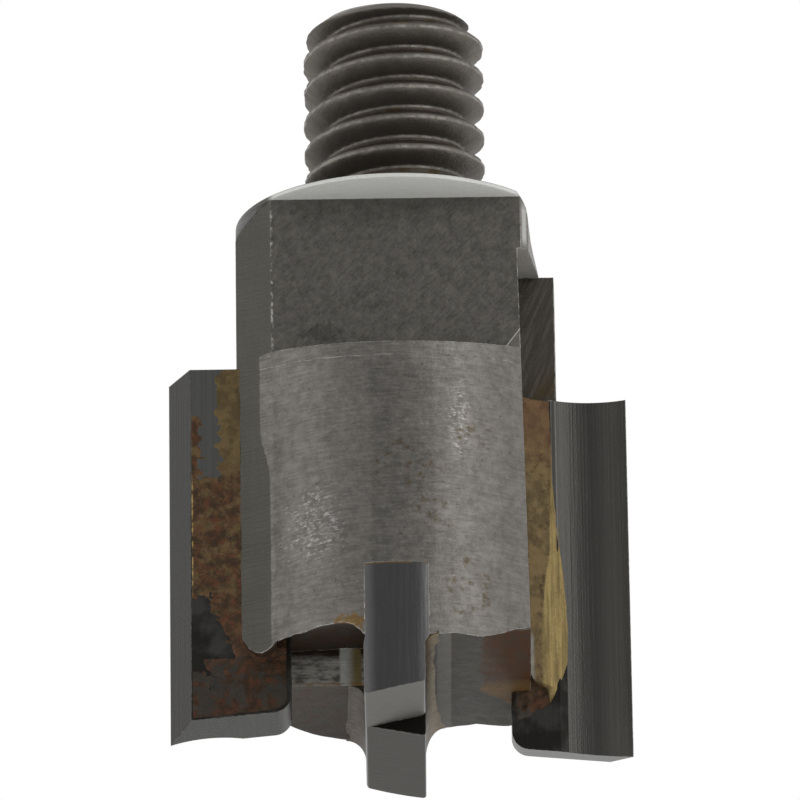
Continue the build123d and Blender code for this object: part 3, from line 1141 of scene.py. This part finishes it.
@dataclass
class SteelBody:
    """The steel body: a turned column with lands, flats, gullets, pockets and end hollows."""

    radius: float = 7.0
    bottom: float = 2.55
    end: float = 3.0
    top: float = 23.9
    flange_bottom: float = 23.7
    top_chamfer: float = 0.04
    side_wall: tuple[float, float] = (178.34, 6.848)
    strip: tuple[float, float] = (235.8, 6.718)
    land_slope: float = 0.5
    flat_distance: float = 4.45
    flat_bottom: float = 16.7
    runout_slope: float = 0.1944
    gullet_wall: float = 5.3
    gullet_top: float = 22.05
    ceiling_fall: float = 0.13
    gullet_lean: float = 0.016
    rake_offset: float = 1.25
    tip_back: float = 3.4
    tip_inner: float = 4.8
    tip_top: float = 16.3
    cross_left: float = -1.53
    cross_right: float = 1.19
    cross_top: float = 6.25
    true_wall_height: float = 18.0
    hollow_lip: Profile = (
        (-5.3, -5.0, -4.24, -3.57, -2.74, -2.36, -2.0, -1.72, -1.53),
        (3.5, 3.52, 3.55, 3.69, 3.71, 3.7, 3.55, 3.26, 3.0),
    )
    hollow_wall_top: float = 4.62
    right_lip: Profile = ((1.2, 1.6, 2.2, 3.3, 4.2, 5.0, 5.6), (3.02, 3.08, 3.16, 3.1, 3.42, 3.85, 4.15))
    right_back: Profile = ((3.2, 4.6, 5.3), (3.17, 2.74, 2.66))
    left_back: Profile = ((-5.3, -5.06, -4.0, -2.5), (2.85, 2.83, 2.66, 2.62))
    shoulder_front: Profile = ((22.9, 23.3, 23.6, 23.9), (5.72, 5.66, 5.5, 5.25))
    shoulder_back: Profile = ((22.0, 22.5, 22.9, 23.3, 23.6, 23.9), (6.24, 6.06, 5.97, 5.88, 5.7, 5.45))
    shoulder_foot: float = 21.0
    tongue_side: Profile = (
        (-6.95, -6.86, -6.7, -6.48, -6.2, -5.95, -5.7, -5.48, -5.25),
        (4.5, 4.2, 3.85, 3.5, 3.28, 3.2, 3.27, 3.42, 3.62),
    )
    scrape: float = 1.5
    spread: float = 12.0
    finish: BodyFinish = BodyFinish()

    def ring(self, height: float) -> np.ndarray:
        """Give the outline at one height, with the two lands standing out of the circle.

        Args:
            height: The height.

        Returns:
            Points round the outline.
        """
        wall_angle, wall = math.radians(self.side_wall[0]), self.side_wall[1]
        strip_angle = math.radians(self.strip[0])
        wave = float(ripple(np.array(height), np.array(0.0), 21, 2.6)) * 0.014
        strip = self.strip[1] + wave
        start = wall_angle + math.acos(wall / self.radius)
        arris = strip_angle - math.acos(min(1.0, strip / self.radius))
        normal_a = np.array([math.cos(wall_angle), math.sin(wall_angle)])
        normal_b = np.array([math.cos(strip_angle), math.sin(strip_angle)])
        corner = np.linalg.solve(np.array([normal_a, normal_b]), np.array([wall, strip]))
        corner_angle = math.atan2(corner[1], corner[0]) % math.tau
        limit = self.radius + max(0.0, (self.flange_bottom - height) * self.land_slope)
        angles = np.concatenate(
            [
                np.linspace(start, corner_angle, 10, endpoint=False),
                np.linspace(corner_angle, arris, 12, endpoint=False),
                np.linspace(arris, start + math.pi, 150, endpoint=False),
            ]
        )
        reach = np.full(angles.shape, self.radius)
        reach[:10] = wall / np.cos(angles[:10] - wall_angle)
        reach[10:22] = strip / np.cos(angles[10:22] - strip_angle)
        reach = np.minimum(reach, limit)
        half = np.stack([reach * np.cos(angles), reach * np.sin(angles)], axis=-1)
        flat = np.concatenate([half, -half])
        return np.concatenate([flat, np.full((len(flat), 1), height)], axis=1)

    def arch(self) -> Item:
        """Make the cutter of the front left hollow, whose roof rises towards the axis.

        Returns:
            The cutter.
        """
        x = np.linspace(-self.gullet_wall - 0.02, self.cross_left + 0.1, 28)[:, None]
        share = np.linspace(0, 1, 30)[None, :]
        front = -np.sqrt(self.radius**2 - x**2)
        lip = np.interp(x, *self.hollow_lip) + 0.025 * ripple(x, 0 * x, 31, 0.9)
        y = (front - 1.2) * (1 - share)
        depth = np.clip(1 - y / front, 0, 1)
        wall_top = self.hollow_wall_top + 0.05 * (x + self.gullet_wall)
        roof = lip + (wall_top - lip) * np.sin(depth * math.pi * 0.62) + 0.02 * ripple(x, y, 32, 1.1)
        top = lattice(x, y, roof)
        floor = lattice(x, y, self.scrape)
        return slab("hollow_cutter", top, floor)

    def right_end(self) -> Item:
        """Make the cutter of the right end, whose front rim rises towards the gullet.

        Returns:
            The cutter.
        """
        x = np.linspace(self.cross_right - 0.1, self.gullet_wall + 0.65, 26)[:, None]
        rim = np.sqrt(self.radius**2 - x**2)
        y = (rim + 0.7) * np.linspace(-1, 1, 61)[None, :]
        share = np.clip(np.abs(y) / rim, 0, 1)
        lip = np.interp(x, *self.right_lip) + 0.02 * ripple(x, 0 * x, 36, 0.8)
        back = np.interp(x, *self.right_back)
        ceiling = self.end + np.where(y < 0, (lip - self.end) * share**2, (back - self.end) * share**1.5)
        top = lattice(x, y, ceiling + 0.012 * ripple(x, y, 35, 1.2))
        return slab("right_end_cutter", top, top * (1, 1, 0) + (0, 0, self.scrape))

    def left_end(self) -> Item:
        """Make the cutter of the left end behind the hollow, which falls a little to its rim.

        Returns:
            The cutter.
        """
        x = np.linspace(-self.gullet_wall - 0.65, self.cross_left + 0.1, 26)[:, None]
        rim = np.sqrt(self.radius**2 - x**2)
        y = (rim + 0.7) * np.linspace(0, 1, 31)[None, :]
        share = np.clip(y / rim, 0, 1)
        back = np.interp(x, *self.left_back)
        ceiling = self.end + (back - self.end) * share**1.2 + 0.012 * ripple(x, y, 37, 1.2)
        top = lattice(x, y, ceiling)
        return slab("left_end_cutter", top, top * (1, 1, 0) + (0, 0, self.scrape))

    def shoulder_side(self) -> Item:
        """Make the cutter of the slightly hollow side above the right gullet.

        Returns:
            The cutter.
        """
        far = self.spread
        z = np.linspace(self.gullet_top - 0.01, self.top + 1.0, 24)
        front = np.interp(z, *self.shoulder_front)
        back = np.interp(z, *self.shoulder_back)
        rings = [
            [(f, -far, h), (far, -far, h), (far, far, h), (b + 0.6, far, h), (b, 1.0, h), (f, -4.2, h)]
            for h, f, b in zip(z, front, back)
        ]
        return tube("shoulder_side_cutter", np.array(rings))

    def gullet(self) -> Item:
        """Make the cutter of a gullet; its wall leans out to the end, its ceiling falls to the front.

        Returns:
            The cutter.
        """
        low = self.gullet_wall + self.gullet_lean * self.true_wall_height
        high = self.gullet_wall + self.gullet_lean * (self.true_wall_height - self.gullet_top)
        far = self.spread
        back, fall = self.rake_offset, (self.rake_offset + far) * self.ceiling_fall
        foot = [(low, -far, 0.0), (far, -far, 0.0), (far, back, 0.0), (low, back, 0.0)]
        front_top, back_top = self.gullet_top - fall, self.gullet_top
        roof = [(x, -far, front_top) for x in (high, far)] + [(x, back, back_top) for x in (far, high)]
        return tube("gullet_cutter", np.array([foot, roof]))

    def cutters(self) -> list[Item]:
        """Make everything that is cut out of the column.

        Returns:
            The cutters, in the order in which they cut.
        """
        far = self.spread
        drop = (far - self.flat_distance) * self.runout_slope
        flat = [
            (-self.flat_distance, self.flange_bottom),
            (-self.flat_distance, self.flat_bottom),
            (-far, self.flat_bottom - drop),
            (-far, self.flange_bottom),
        ]
        pocket = [
            (self.tip_inner, self.rake_offset - 0.05),
            (far, self.rake_offset - 0.05),
            (far, self.tip_back),
            (self.tip_inner, self.tip_back),
        ]
        back = self.rake_offset
        side_foot = [(5.72, -far), (far, -far), (far, back), (6.24, back), (6.22, 1.0), (5.72, -4.2)]
        left, right = self.cross_left, self.cross_right
        slot = [(left, -far), (right, -far), (right, far), (left, far)]
        tongue = [(-far, 2.0), (-far, 4.5), *zip(*self.tongue_side), (-5.25, 2.0)]
        return [
            prism("front_flat_cutter", flat, 0, -far, far),
            half_turn(prism("back_flat_cutter", flat, 0, -far, far)),
            self.gullet(),
            half_turn(self.gullet()),
            self.shoulder_side(),
            prism("shoulder_foot_cutter", side_foot, 2, self.shoulder_foot, self.gullet_top + 0.02),
            prism("right_pocket_cutter", pocket, 2, -1.0, self.tip_top),
            half_turn(prism("left_pocket_cutter", pocket, 2, -1.0, self.tip_top)),
            prism("slot_cutter", slot, 2, -1.0, self.cross_top),
            self.arch(),
            self.right_end(),
            self.left_end(),
            prism("tongue_cutter", tongue, 1, -far, -self.tip_back + 0.1),
            half_turn(prism("back_tongue_cutter", tongue, 1, -far, -self.tip_back + 0.1)),
        ]

    def build(self) -> list[Item]:
        """Build the body and dress it.

        Returns:
            The pieces, dressed and linked to the scene.
        """
        column = np.linspace(self.bottom, self.flange_bottom, 84)
        heights = [*column, self.flange_bottom + 0.001, self.top - self.top_chamfer, self.top]
        rings = np.array([self.ring(float(h)) for h in heights])
        rings[-1, :, :2] *= (self.radius - self.top_chamfer) / self.radius
        body = tube("steel_body", rings)
        carve(body, self.cutters())
        round_off(body, 28)
        coat(body, self.finish.material())
        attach(body, "root")
        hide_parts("body")
        return [body]


@dataclass
class SideTip:
    """One side tip: a carbide plate, hollow ground on its rake face and relieved behind its edges."""

    side: Side
    inner: float = 4.72
    reach: float = 9.921567
    rake_offset: float = 1.25
    back: float = 3.4
    back_reach: float = 8.9643
    top: float = 16.3
    hollow_width: float = 3.1
    hollow_depth: float = 0.34
    corner: float = 0.7
    dish: float = 5.2
    relief: float = 9.5

    def outline(self) -> np.ndarray:
        """Give the plate's section across the axis, with the ground hollow in many short steps.

        Returns:
            Points round the section.
        """
        half = self.hollow_width / 2
        curve = (half**2 + self.hollow_depth**2) / (2 * self.hollow_depth)
        x = np.linspace(self.reach - self.hollow_width, self.reach, 33)
        y = self.rake_offset + self.hollow_depth - curve + np.sqrt(curve**2 - (x - self.reach + half) ** 2)
        y[0], y[-1] = self.rake_offset, self.rake_offset
        rake = np.stack([x, y], axis=-1)
        inner = [(self.inner, self.back), (self.inner, self.rake_offset)]
        return np.concatenate([inner, rake, [(self.back_reach, self.back)]])

    def end_cutter(self) -> Item:
        """Make the cutter that leaves the sloped end and the round inner corner.

        Returns:
            The cutter.
        """
        rise_x, rise_y = math.tan(math.radians(self.dish)), math.tan(math.radians(self.relief))
        far = self.reach + 1
        bend = np.linspace(0, math.pi / 2, 12)
        x = np.concatenate(
            [[self.inner - 1], self.inner + self.corner * (1 - np.sin(math.pi / 2 - bend)), [far]]
        )
        lift = np.concatenate([[self.corner + 2], self.corner * (1 - np.sin(bend)), [0.0]])
        rings = []
        for y in (self.rake_offset - 1, self.back + 1):
            roof = lift + (self.reach - x) * rise_x + (y - self.rake_offset) * rise_y
            upper = [(a, y, b) for a, b in zip(x, roof)]
            rings.append([(far, y, -3.0), (x[0], y, -3.0)] + upper)
        return tube("end_cutter", np.array(rings))

    def build(self, material: Material) -> list[Item]:
        """Build the tip, set it on its side and dress it.

        Args:
            material: The material to put on.

        Returns:
            The pieces, dressed and linked to the scene.
        """
        outline = self.outline()
        rings = [np.insert(outline, 2, h, axis=1) for h in (0.0, self.top)]
        tip = tube(f"side_tip_plate_{self.side.value}", np.array(rings))
        carve(tip, [self.end_cutter()])
        self.side.place(tip)
        round_off(tip, 20)
        coat(tip, material)
        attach(tip, "root")
        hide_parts(f"side_tip_{self.side.value}")
        return [tip]


@dataclass
class CrossTip:
    """The cross tip: one plate through the body, each half relieved away from its own edge."""

    left: float = -1.53
    right: float = 1.19
    radius: float = 7.0
    top: float = 6.25
    slim_left: float = -1.6
    slim_right: float = 1.0
    slim_below: float = 2.7
    front_lift: float = 0.42
    corner: float = 0.16
    dish: float = 5.7
    relief: float = 12.0
    back_relief: float = 10.5

    def outline(self, left: float, right: float) -> np.ndarray:
        """Give the plate's section across the axis, between two sides.

        Args:
            left: Place of the left side.
            right: Place of the right side.

        Returns:
            Points round it.
        """
        x = np.linspace(left, right, 25)
        edge = np.stack([x, -np.sqrt(self.radius**2 - x**2)], axis=-1)
        return np.concatenate([edge, edge[::-1] * (1, -1)])

    def end_cutter(self, front: bool) -> Item:
        """Make the cutter of one half's sloped end.

        Args:
            front: True for the front half, False for the back half.

        Returns:
            The cutter.
        """
        along = math.tan(math.radians(self.dish))
        across = math.tan(math.radians(self.relief if front else self.back_relief))
        bend = np.linspace(0, math.pi / 2, 8)
        turn, rise = self.corner * (1 - np.cos(bend)), self.corner * (1 - np.sin(bend))
        x = np.concatenate([[-3.0], self.slim_left + turn, self.slim_right - turn[::-1], [3.0]])
        lift = np.concatenate([[2.0], rise, rise[::-1], [2.0]])
        rings = []
        for y in (-self.radius - 1, 0.0) if front else (0.0, self.radius + 1):
            if front:
                roof = self.front_lift + (y + self.radius) * along + (x - self.left) * across
            else:
                roof = (self.radius - y) * along + (self.slim_right - x) * across
            upper = [(a, y, b) for a, b in zip(x, roof + lift)]
            rings.append([(3.0, y, -3.0), (-3.0, y, -3.0)] + upper)
        return tube("cross_end_cutter", np.array(rings))

    def build(self, material: Material) -> list[Item]:
        """Build the tip and dress it.

        Args:
            material: The material to put on.

        Returns:
            The pieces, dressed and linked to the scene.
        """
        slim = self.outline(self.slim_left, self.slim_right)
        full = self.outline(self.left, self.right)
        levels = ((slim, 0.0), (slim, self.slim_below), (full, self.slim_below + 0.3), (full, self.top))
        tip = tube("cross_tip_plate", np.array([np.insert(outline, 2, h, axis=1) for outline, h in levels]))
        carve(tip, [self.end_cutter(True), self.end_cutter(False)])
        round_off(tip, 20)
        coat(tip, material)
        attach(tip, "root")
        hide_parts("cross_tip")
        return [tip]


@dataclass
class CrossFillet:
    """Braze in one corner between the cross tip and the body's end.

    Attributes:
        name: Name of the piece.
        face: Where the tip's side is, along X.
        outward: 1 where the body's end lies to the right of the tip, -1 to the left.
        span: First and last place along Y.
        widths: How far it reaches over the body's end, at both places.
        drops: How far it reaches down the tip, at both places.
        roofs: Height of the body's end, at both places.
    """

    name: str
    face: float
    outward: float
    span: tuple[float, float]
    widths: tuple[float, float]
    drops: tuple[float, float]
    roofs: tuple[float, float]
    bury: float = 0.12

    def build(self, material: Material) -> list[Item]:
        """Build the fillet and dress it.

        Args:
            material: The material to put on.

        Returns:
            The pieces, dressed and linked to the scene.
        """
        bend = np.linspace(0, math.pi / 2, 14)
        rings = []
        for share in np.linspace(0, 1, 60):
            ends = (self.span, self.widths, self.drops, self.roofs)
            y, width, drop, roof = (a + (b - a) * share for a, b in ends)
            swell = 1 + 0.06 * float(ripple(np.array(y), np.array(0.0), 51, 2.2))
            x = self.face + self.outward * width * swell * (1 - np.cos(bend))
            z = roof - drop * (1 - np.sin(bend))
            outer = [(a, y, b) for a, b in zip(x, z)]
            inside, above = self.face - self.outward * self.bury, roof + self.bury
            rings.append(outer + [(float(x[-1]), y, above), (inside, y, above), (inside, y, roof - drop)])
        fillet = tube(self.name, np.array(rings))
        round_off(fillet, 50)
        coat(fillet, material)
        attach(fillet, "root")
        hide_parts("braze_cross")
        return [fillet]


@dataclass
class BrazeSeams:
    """Braze along one side tip: seam in the gullet's corner, film behind the plate, run over its end."""

    side: Side
    seed: int
    rake_offset: float = 1.25
    body_reach: float = 6.95
    tip_back: float = 3.4
    tip_back_reach: float = 8.96
    tip_inner: float = 4.85
    tip_top: float = 16.3
    seam_end: float = 2.5
    sink: float = 0.05
    bend: float = 0.34
    seam_width: Profile = (
        (2.5, 2.6, 3.1, 4.3, 6.9, 9.9, 13.9, 16.3),
        (6.4, 6.44, 6.76, 7.18, 7.18, 6.9, 6.72, 6.69),
    )
    seam_start: Profile = (
        (2.5, 2.6, 3.05, 3.13, 3.27, 3.45, 3.7, 5.0, 16.3),
        (6.38, 6.37, 6.3, 6.22, 5.81, 5.64, 5.54, 5.43, 5.33),
    )
    seam_leg: Profile = ((2.5, 3.1, 4.5, 16.3), (0.05, 0.4, 0.72, 0.66))
    run_low: Profile = ((4.75, 4.95, 5.15, 5.45, 5.9, 6.3, 6.5), (2.1, 1.8, 1.73, 1.82, 2.2, 2.42, 2.74))
    run_high: Profile = ((5.5, 5.7, 6.0, 6.3, 6.5), (3.4, 3.36, 3.26, 3.12, 2.84))
    run_thickness: Profile = ((4.75, 4.9, 6.3, 6.5), (0.2, 1, 1, 0.3))
    film_limit: Profile = ((3.0, 3.4, 4.2, 6.2), (7.0, 7.2, 7.55, 8.4))
    film_bed: float = 0.03

    def seam(self) -> Item:
        """Build the seam in the gullet's corner, with a sharp tail below the body.

        Returns:
            The seam.
        """
        z = np.linspace(self.seam_end, self.tip_top - 0.02, 150)[:, None]
        s = np.linspace(0, 1, 22)[None, :]
        rough = ripple(z, 0 * z, self.seed, 1.6)
        wide = np.interp(z, *self.seam_width) + 0.02 * rough
        start = np.interp(z, *self.seam_start)
        leg = np.interp(z, *self.seam_leg) + 0.03 * ripple(z, 0 * z, self.seed + 1, 2.0)
        bend = self.bend
        x = (1 - s) ** 2 * start + 2 * s * (1 - s) * (start + bend * (wide - start)) + s**2 * wide
        y_wall = self.rake_offset - leg
        y_bend = self.rake_offset - bend * leg
        y = (1 - s) ** 2 * y_wall + 2 * s * (1 - s) * y_bend + s**2 * (self.rake_offset + 0.03)
        lumps = 0.02 * ripple(x, z, self.seed + 2, 0.7) * np.sin(s * math.pi)
        front = lattice(x, y + lumps, z)
        back = lattice(x - 0.15 * (1 - s), self.rake_offset + self.sink + 0.1, z)
        return slab(f"braze_seam_{self.side.value}", front, back)

    def cover(self, x: np.ndarray, z: np.ndarray) -> np.ndarray:
        """Say where the film covers the back of the plate.

        Args:
            x: Distance from the axis.
            z: Height.

        Returns:
            Above 0 where there is braze, below 0 where the plate is bare.
        """
        beside = self.body_reach + 0.88 - x
        outer = np.minimum(x - 8.5, 14.2 - z)
        middle = np.minimum(11.4 - z, z - 5.9)
        low_limit = np.interp(z, *self.film_limit)
        lower = np.minimum(low_limit - x, 6.6 - z)
        foot = (2.75 - z) * 0.5 + 0.1 + 0.42 * ripple(x, z, self.seed + 5, 1.9)
        under = np.minimum(3.7 - z, 7.6 - x) * 0.5 + 0.1 * ripple(x, z, self.seed + 6, 1.1)
        upper = np.where(z > 5.9, np.maximum(np.maximum(beside, outer), middle), lower)
        upper = np.where(x < self.body_reach + 0.12, np.maximum(upper, 0.3), upper)
        joined = np.where(z > 3.2, upper, np.maximum(foot, under))
        return joined + 0.11 * ripple(x, z, self.seed + 3, 0.8) + 0.05 * ripple(x, z, self.seed + 4, 0.3)

    def film(self) -> Item:
        """Build the thin, ragged film behind the plate.

        Returns:
            The film.
        """
        x = np.linspace(self.tip_inner + 0.05, self.tip_back_reach - 0.02, 96)[None, :]
        corner = 0.7 - np.sqrt(np.clip(0.49 - np.clip(5.5 - x, 0, 0.68) ** 2, 0, 0.49))
        foot = 0.44 + (9.92 - x) * 0.0998 + corner
        share = np.linspace(0, 1, 330)[:, None]
        z = foot + (self.tip_top - 0.03 - foot) * share
        cover = self.cover(x + 0 * z, z + 0 * x)
        film = ease(cover, -0.06, 0.16)
        lumps = 0.5 + 0.5 * ripple(x, z, self.seed + 7, 0.55) * 0.5
        beside = np.clip(1 - (x - self.body_reach) / 0.5, 0, 1) * ease(z + 0 * x, 3.0, 3.6)
        height = film * (0.035 + 0.03 * lumps + 0.08 * np.minimum(beside, 1) ** 2) - self.film_bed
        height = np.where((x + 0 * z < self.body_reach - 0.16) & (z > 4.6), -self.film_bed, height)
        height = np.where(x + 0 * z > self.tip_back_reach - 0.06, -self.film_bed, height)
        front = lattice(x, self.tip_back + height, z)
        back = lattice(x, self.tip_back - self.sink - 0.05, z)
        return slab(f"braze_film_{self.side.value}", front, back)

    def run(self) -> Item:
        """Build the braze that ran from the seam's tail over the tip's face and the body's end.

        Returns:
            The run.
        """
        x = np.linspace(self.tip_inner - 0.1, 6.5, 44)[None, :]
        share = np.linspace(0, 1, 34)[:, None]
        low = np.interp(x, *self.run_low)
        high = np.interp(x, *self.run_high)
        low = low + 0.05 * ripple(x, 0 * x, self.seed + 8, 0.7)
        z = low + (high - low) * share
        height = (
            0.02 + 0.2 * np.sin(share * math.pi / 2)
            + 0.1 * share**2 * np.interp(x, [5.3, 6.2], [1, 0])
        )
        height = height * np.interp(x, *self.run_thickness) + 0.015 * ripple(x, z, self.seed + 9, 0.4)
        front = lattice(x, self.rake_offset - height, z)
        back = lattice(x, self.rake_offset + self.sink, z)
        return slab(f"braze_run_{self.side.value}", front, back)

    def build(self, seam_material: Material, film_material: Material) -> list[Item]:
        """Build the three pieces, set them on their side and dress them.

        Args:
            seam_material: Material of the seam.
            film_material: Material of the film and the run.

        Returns:
            The seam, the film and the run.
        """
        pieces = [self.seam(), self.film(), self.run()]
        for piece, material in zip(pieces, (seam_material, film_material, film_material)):
            self.side.place(piece)
            round_off(piece, 60)
            coat(piece, material)
            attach(piece, "root")
            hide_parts(f"braze_{self.side.value}")
        return pieces


@dataclass
class BitCamera:
    """A long lens that looks up at the bit from below its cutting end."""

    distance: float = 390.18
    target_height: float = 16.6
    rise: float = 19.68
    roll: float = 0.815
    lens: float = 403.6
    shift: tuple[float, float] = (0.0028, -0.01625)

    def build(self) -> Item:
        """Place the camera and make it the scene's camera.

        Returns:
            The camera.
        """
        tilt, roll = math.radians(self.rise), math.radians(self.roll)
        right = Vector((1, 0, 0))
        up = Vector((0, -math.sin(tilt), math.cos(tilt)))
        forward = Vector((0, math.cos(tilt), math.sin(tilt)))
        across = right * math.cos(roll) - up * math.sin(roll)
        upright = up * math.cos(roll) + right * math.sin(roll)
        data = bpy.data.cameras.new("bit_camera")
        data.lens = self.lens
        data.sensor_width = 36
        data.sensor_fit = "HORIZONTAL"
        data.shift_x, data.shift_y = self.shift
        data.clip_start, data.clip_end = 0.01, 20
        camera = bpy.data.objects.new("bit_camera", data)
        frame = Matrix((across, upright, -forward)).transposed().to_4x4()
        frame.translation = (Vector((0, 0, self.target_height)) - forward * self.distance) * METRES
        camera.matrix_world = frame
        bpy.context.scene.collection.objects.link(camera)
        bpy.context.scene.camera = camera
        return camera


@dataclass
class Studio:
    """A pale floor, a white backdrop and soft light from both sides."""

    floor_half: float = 1.2
    key_power: float = 0.42
    fill_power: float = 0.25
    floor_tone: Colour = tint("e9e9e7")

    def floor(self) -> Item:
        """Lay the floor at the height of the cutting corners; from below it can't be seen.

        Returns:
            The floor.
        """
        half = self.floor_half
        mesh = bpy.data.meshes.new("floor")
        corners = [(-half, -half, 0), (half, -half, 0), (half, half, 0), (-half, half, 0)]
        mesh.from_pydata(corners, [], [(0, 1, 2, 3)])
        floor = bpy.data.objects.new("floor", mesh)
        bpy.context.scene.collection.objects.link(floor)
        g = Graph("pale_floor")
        surface = g.nodes.new("ShaderNodeBsdfPrincipled")
        dust = g.noise(0.05, 4)
        g.put(g.shade(self.floor_tone, g.plus(0.97, g.times(dust, 0.06))), surface.inputs["Base Color"])
        surface.inputs["Roughness"].default_value = 0.8
        clear = g.nodes.new("ShaderNodeBsdfTransparent")
        join = g.nodes.new("ShaderNodeMixShader")
        output = g.nodes.new("ShaderNodeOutputMaterial")
        g.put(g.geometry.outputs["Backfacing"], join.inputs[0])
        g.links.new(surface.outputs[0], join.inputs[1])
        g.links.new(clear.outputs[0], join.inputs[2])
        g.links.new(join.outputs[0], output.inputs[0])
        mesh.materials.append(g.material)
        floor.visible_diffuse = False
        floor.visible_glossy = False
        floor.visible_transmission = False
        floor.visible_shadow = False
        return floor

    def backdrop(self) -> None:
        """Light the world: white behind the bit, softer on the side that the camera stands on."""
        world = bpy.data.worlds.new("studio")
        bpy.context.scene.world = world
        world.use_nodes = True
        nodes, links = world.node_tree.nodes, world.node_tree.links
        nodes.clear()
        coordinates = nodes.new("ShaderNodeTexCoord")
        parts = nodes.new("ShaderNodeSeparateXYZ")
        links.new(coordinates.outputs["Generated"], parts.inputs[0])

        def ramp(socket: Socket, low: float, high: float, start: float, end: float) -> Socket:
            """Return a smooth change from start to end between two directions.

            Args:
                socket: What is measured.
                low: Where the change starts.
                high: Where it ends.
                start: Value at low and below.
                end: Value at high and above.

            Returns:
                The value.
            """
            node = nodes.new("ShaderNodeMapRange")
            node.interpolation_type = "SMOOTHSTEP"
            links.new(socket, node.inputs["Value"])
            for name, value in (("From Min", low), ("From Max", high), ("To Min", start), ("To Max", end)):
                node.inputs[name].default_value = value
            return node.outputs["Result"]

        def sum_of(operation: str, a: Socket, b: Socket) -> Socket:
            """Return one sum of two sockets.

            Args:
                operation: Blender's name for the sum.
                a: First value.
                b: Second value.

            Returns:
                The result.
            """
            node = nodes.new("ShaderNodeMath")
            node.operation = operation
            links.new(a, node.inputs[0])
            links.new(b, node.inputs[1])
            return node.outputs[0]

        depth = ramp(parts.outputs[1], -0.95, 0.35, 0.42, 1.0)
        height = ramp(parts.outputs[2], -0.7, 0.3, 0.35, 0.0)
        light = sum_of("ADD", depth, height)
        path = nodes.new("ShaderNodeLightPath")
        backdrop = ramp(parts.outputs[1], 0.0, 0.4, 0.0, 1.0)
        mirrored = sum_of("MULTIPLY", path.outputs["Is Glossy Ray"], backdrop)
        seen = sum_of("MAXIMUM", path.outputs["Is Camera Ray"], path.outputs["Is Transmission Ray"])
        seen = sum_of("MAXIMUM", seen, mirrored)
        blend = nodes.new("ShaderNodeMix")
        links.new(seen, blend.inputs[0])
        links.new(light, blend.inputs[2])
        blend.inputs[3].default_value = 1.0
        surface = nodes.new("ShaderNodeBackground")
        surface.inputs["Color"].default_value = (1.0, 1.0, 1.0, 1.0)
        links.new(blend.outputs[0], surface.inputs["Strength"])
        output = nodes.new("ShaderNodeOutputWorld")
        links.new(surface.outputs[0], output.inputs[0])

    def lamp(self, name: str, place: tuple[float, float, float], size: float, power: float) -> None:
        """Hang one soft square lamp that faces the middle of the bit.

        Args:
            name: Its name.
            place: Where it hangs, in metres.
            size: Its side, in metres.
            power: Its power in watts.
        """
        data = bpy.data.lights.new(name, "AREA")
        data.shape = "SQUARE"
        data.size = size
        data.energy = power
        item = bpy.data.objects.new(name, data)
        item.location = place
        aim = Vector(MIDDLE) - Vector(place)
        item.rotation_euler = aim.to_track_quat("-Z", "Y").to_euler()
        bpy.context.scene.collection.objects.link(item)

    def build(self) -> None:
        """Set up floor, backdrop and lamps."""
        self.floor()
        self.backdrop()
        self.lamp("key_lamp", (0.30, -0.32, 0.16), 0.16, self.key_power)
        self.lamp("fill_lamp", (-0.42, -0.2, 0.02), 0.3, self.fill_power)


def main() -> None:
    """Build, dress and report every piece."""
    logging.basicConfig(level=logging.INFO, format="%(name)s: %(message)s")
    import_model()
    bpy.context.scene.view_settings.view_transform = "Standard"
    BitCamera().build()
    Studio().build()
    pieces = ThreadedStud().build() + SteelBody().build()
    carbide = CarbideFinish().material()
    for side in Side:
        pieces += SideTip(side).build(carbide)
    pieces += CrossTip().build(CrossCarbideFinish().material())
    seam_material = BrazeFinish("braze_seam", cut_sliver=True).material()
    film_material = BrazeFinish("braze_film").material()
    for side, seed in ((Side.RIGHT, 41), (Side.LEFT, 73)):
        pieces += BrazeSeams(side, seed).build(seam_material, film_material)
    gold = BrazeFinish("braze_fillet").material()
    # A dark, dull copy of the braze, painted shade for the left cross fillet
    in_shade = BrazeFinish("braze_in_shade", in_shade=True).material()
    right_fillet = CrossFillet(
        "cross_fillet_right",
        face=1.0,
        outward=1,
        span=(-6.84, 6.82),
        widths=(0.6, 0.85),
        drops=(0.62, 1.4),
        roofs=(3.06, 3.16),
    )
    left_fillet = CrossFillet(
        "cross_fillet_left",
        face=-1.6,
        outward=-1,
        span=(0.05, 6.78),
        widths=(0.7, 0.85),
        drops=(0.6, 1.0),
        roofs=(3.0, 2.63),
    )
    pieces += right_fillet.build(gold) + left_fillet.build(in_shade)
    for piece in pieces:
        LOG.info("%s: %d faces, %s", piece.name, len(piece.data.polygons), piece.data.materials[0].name)


if __name__ == "__main__":
    main()
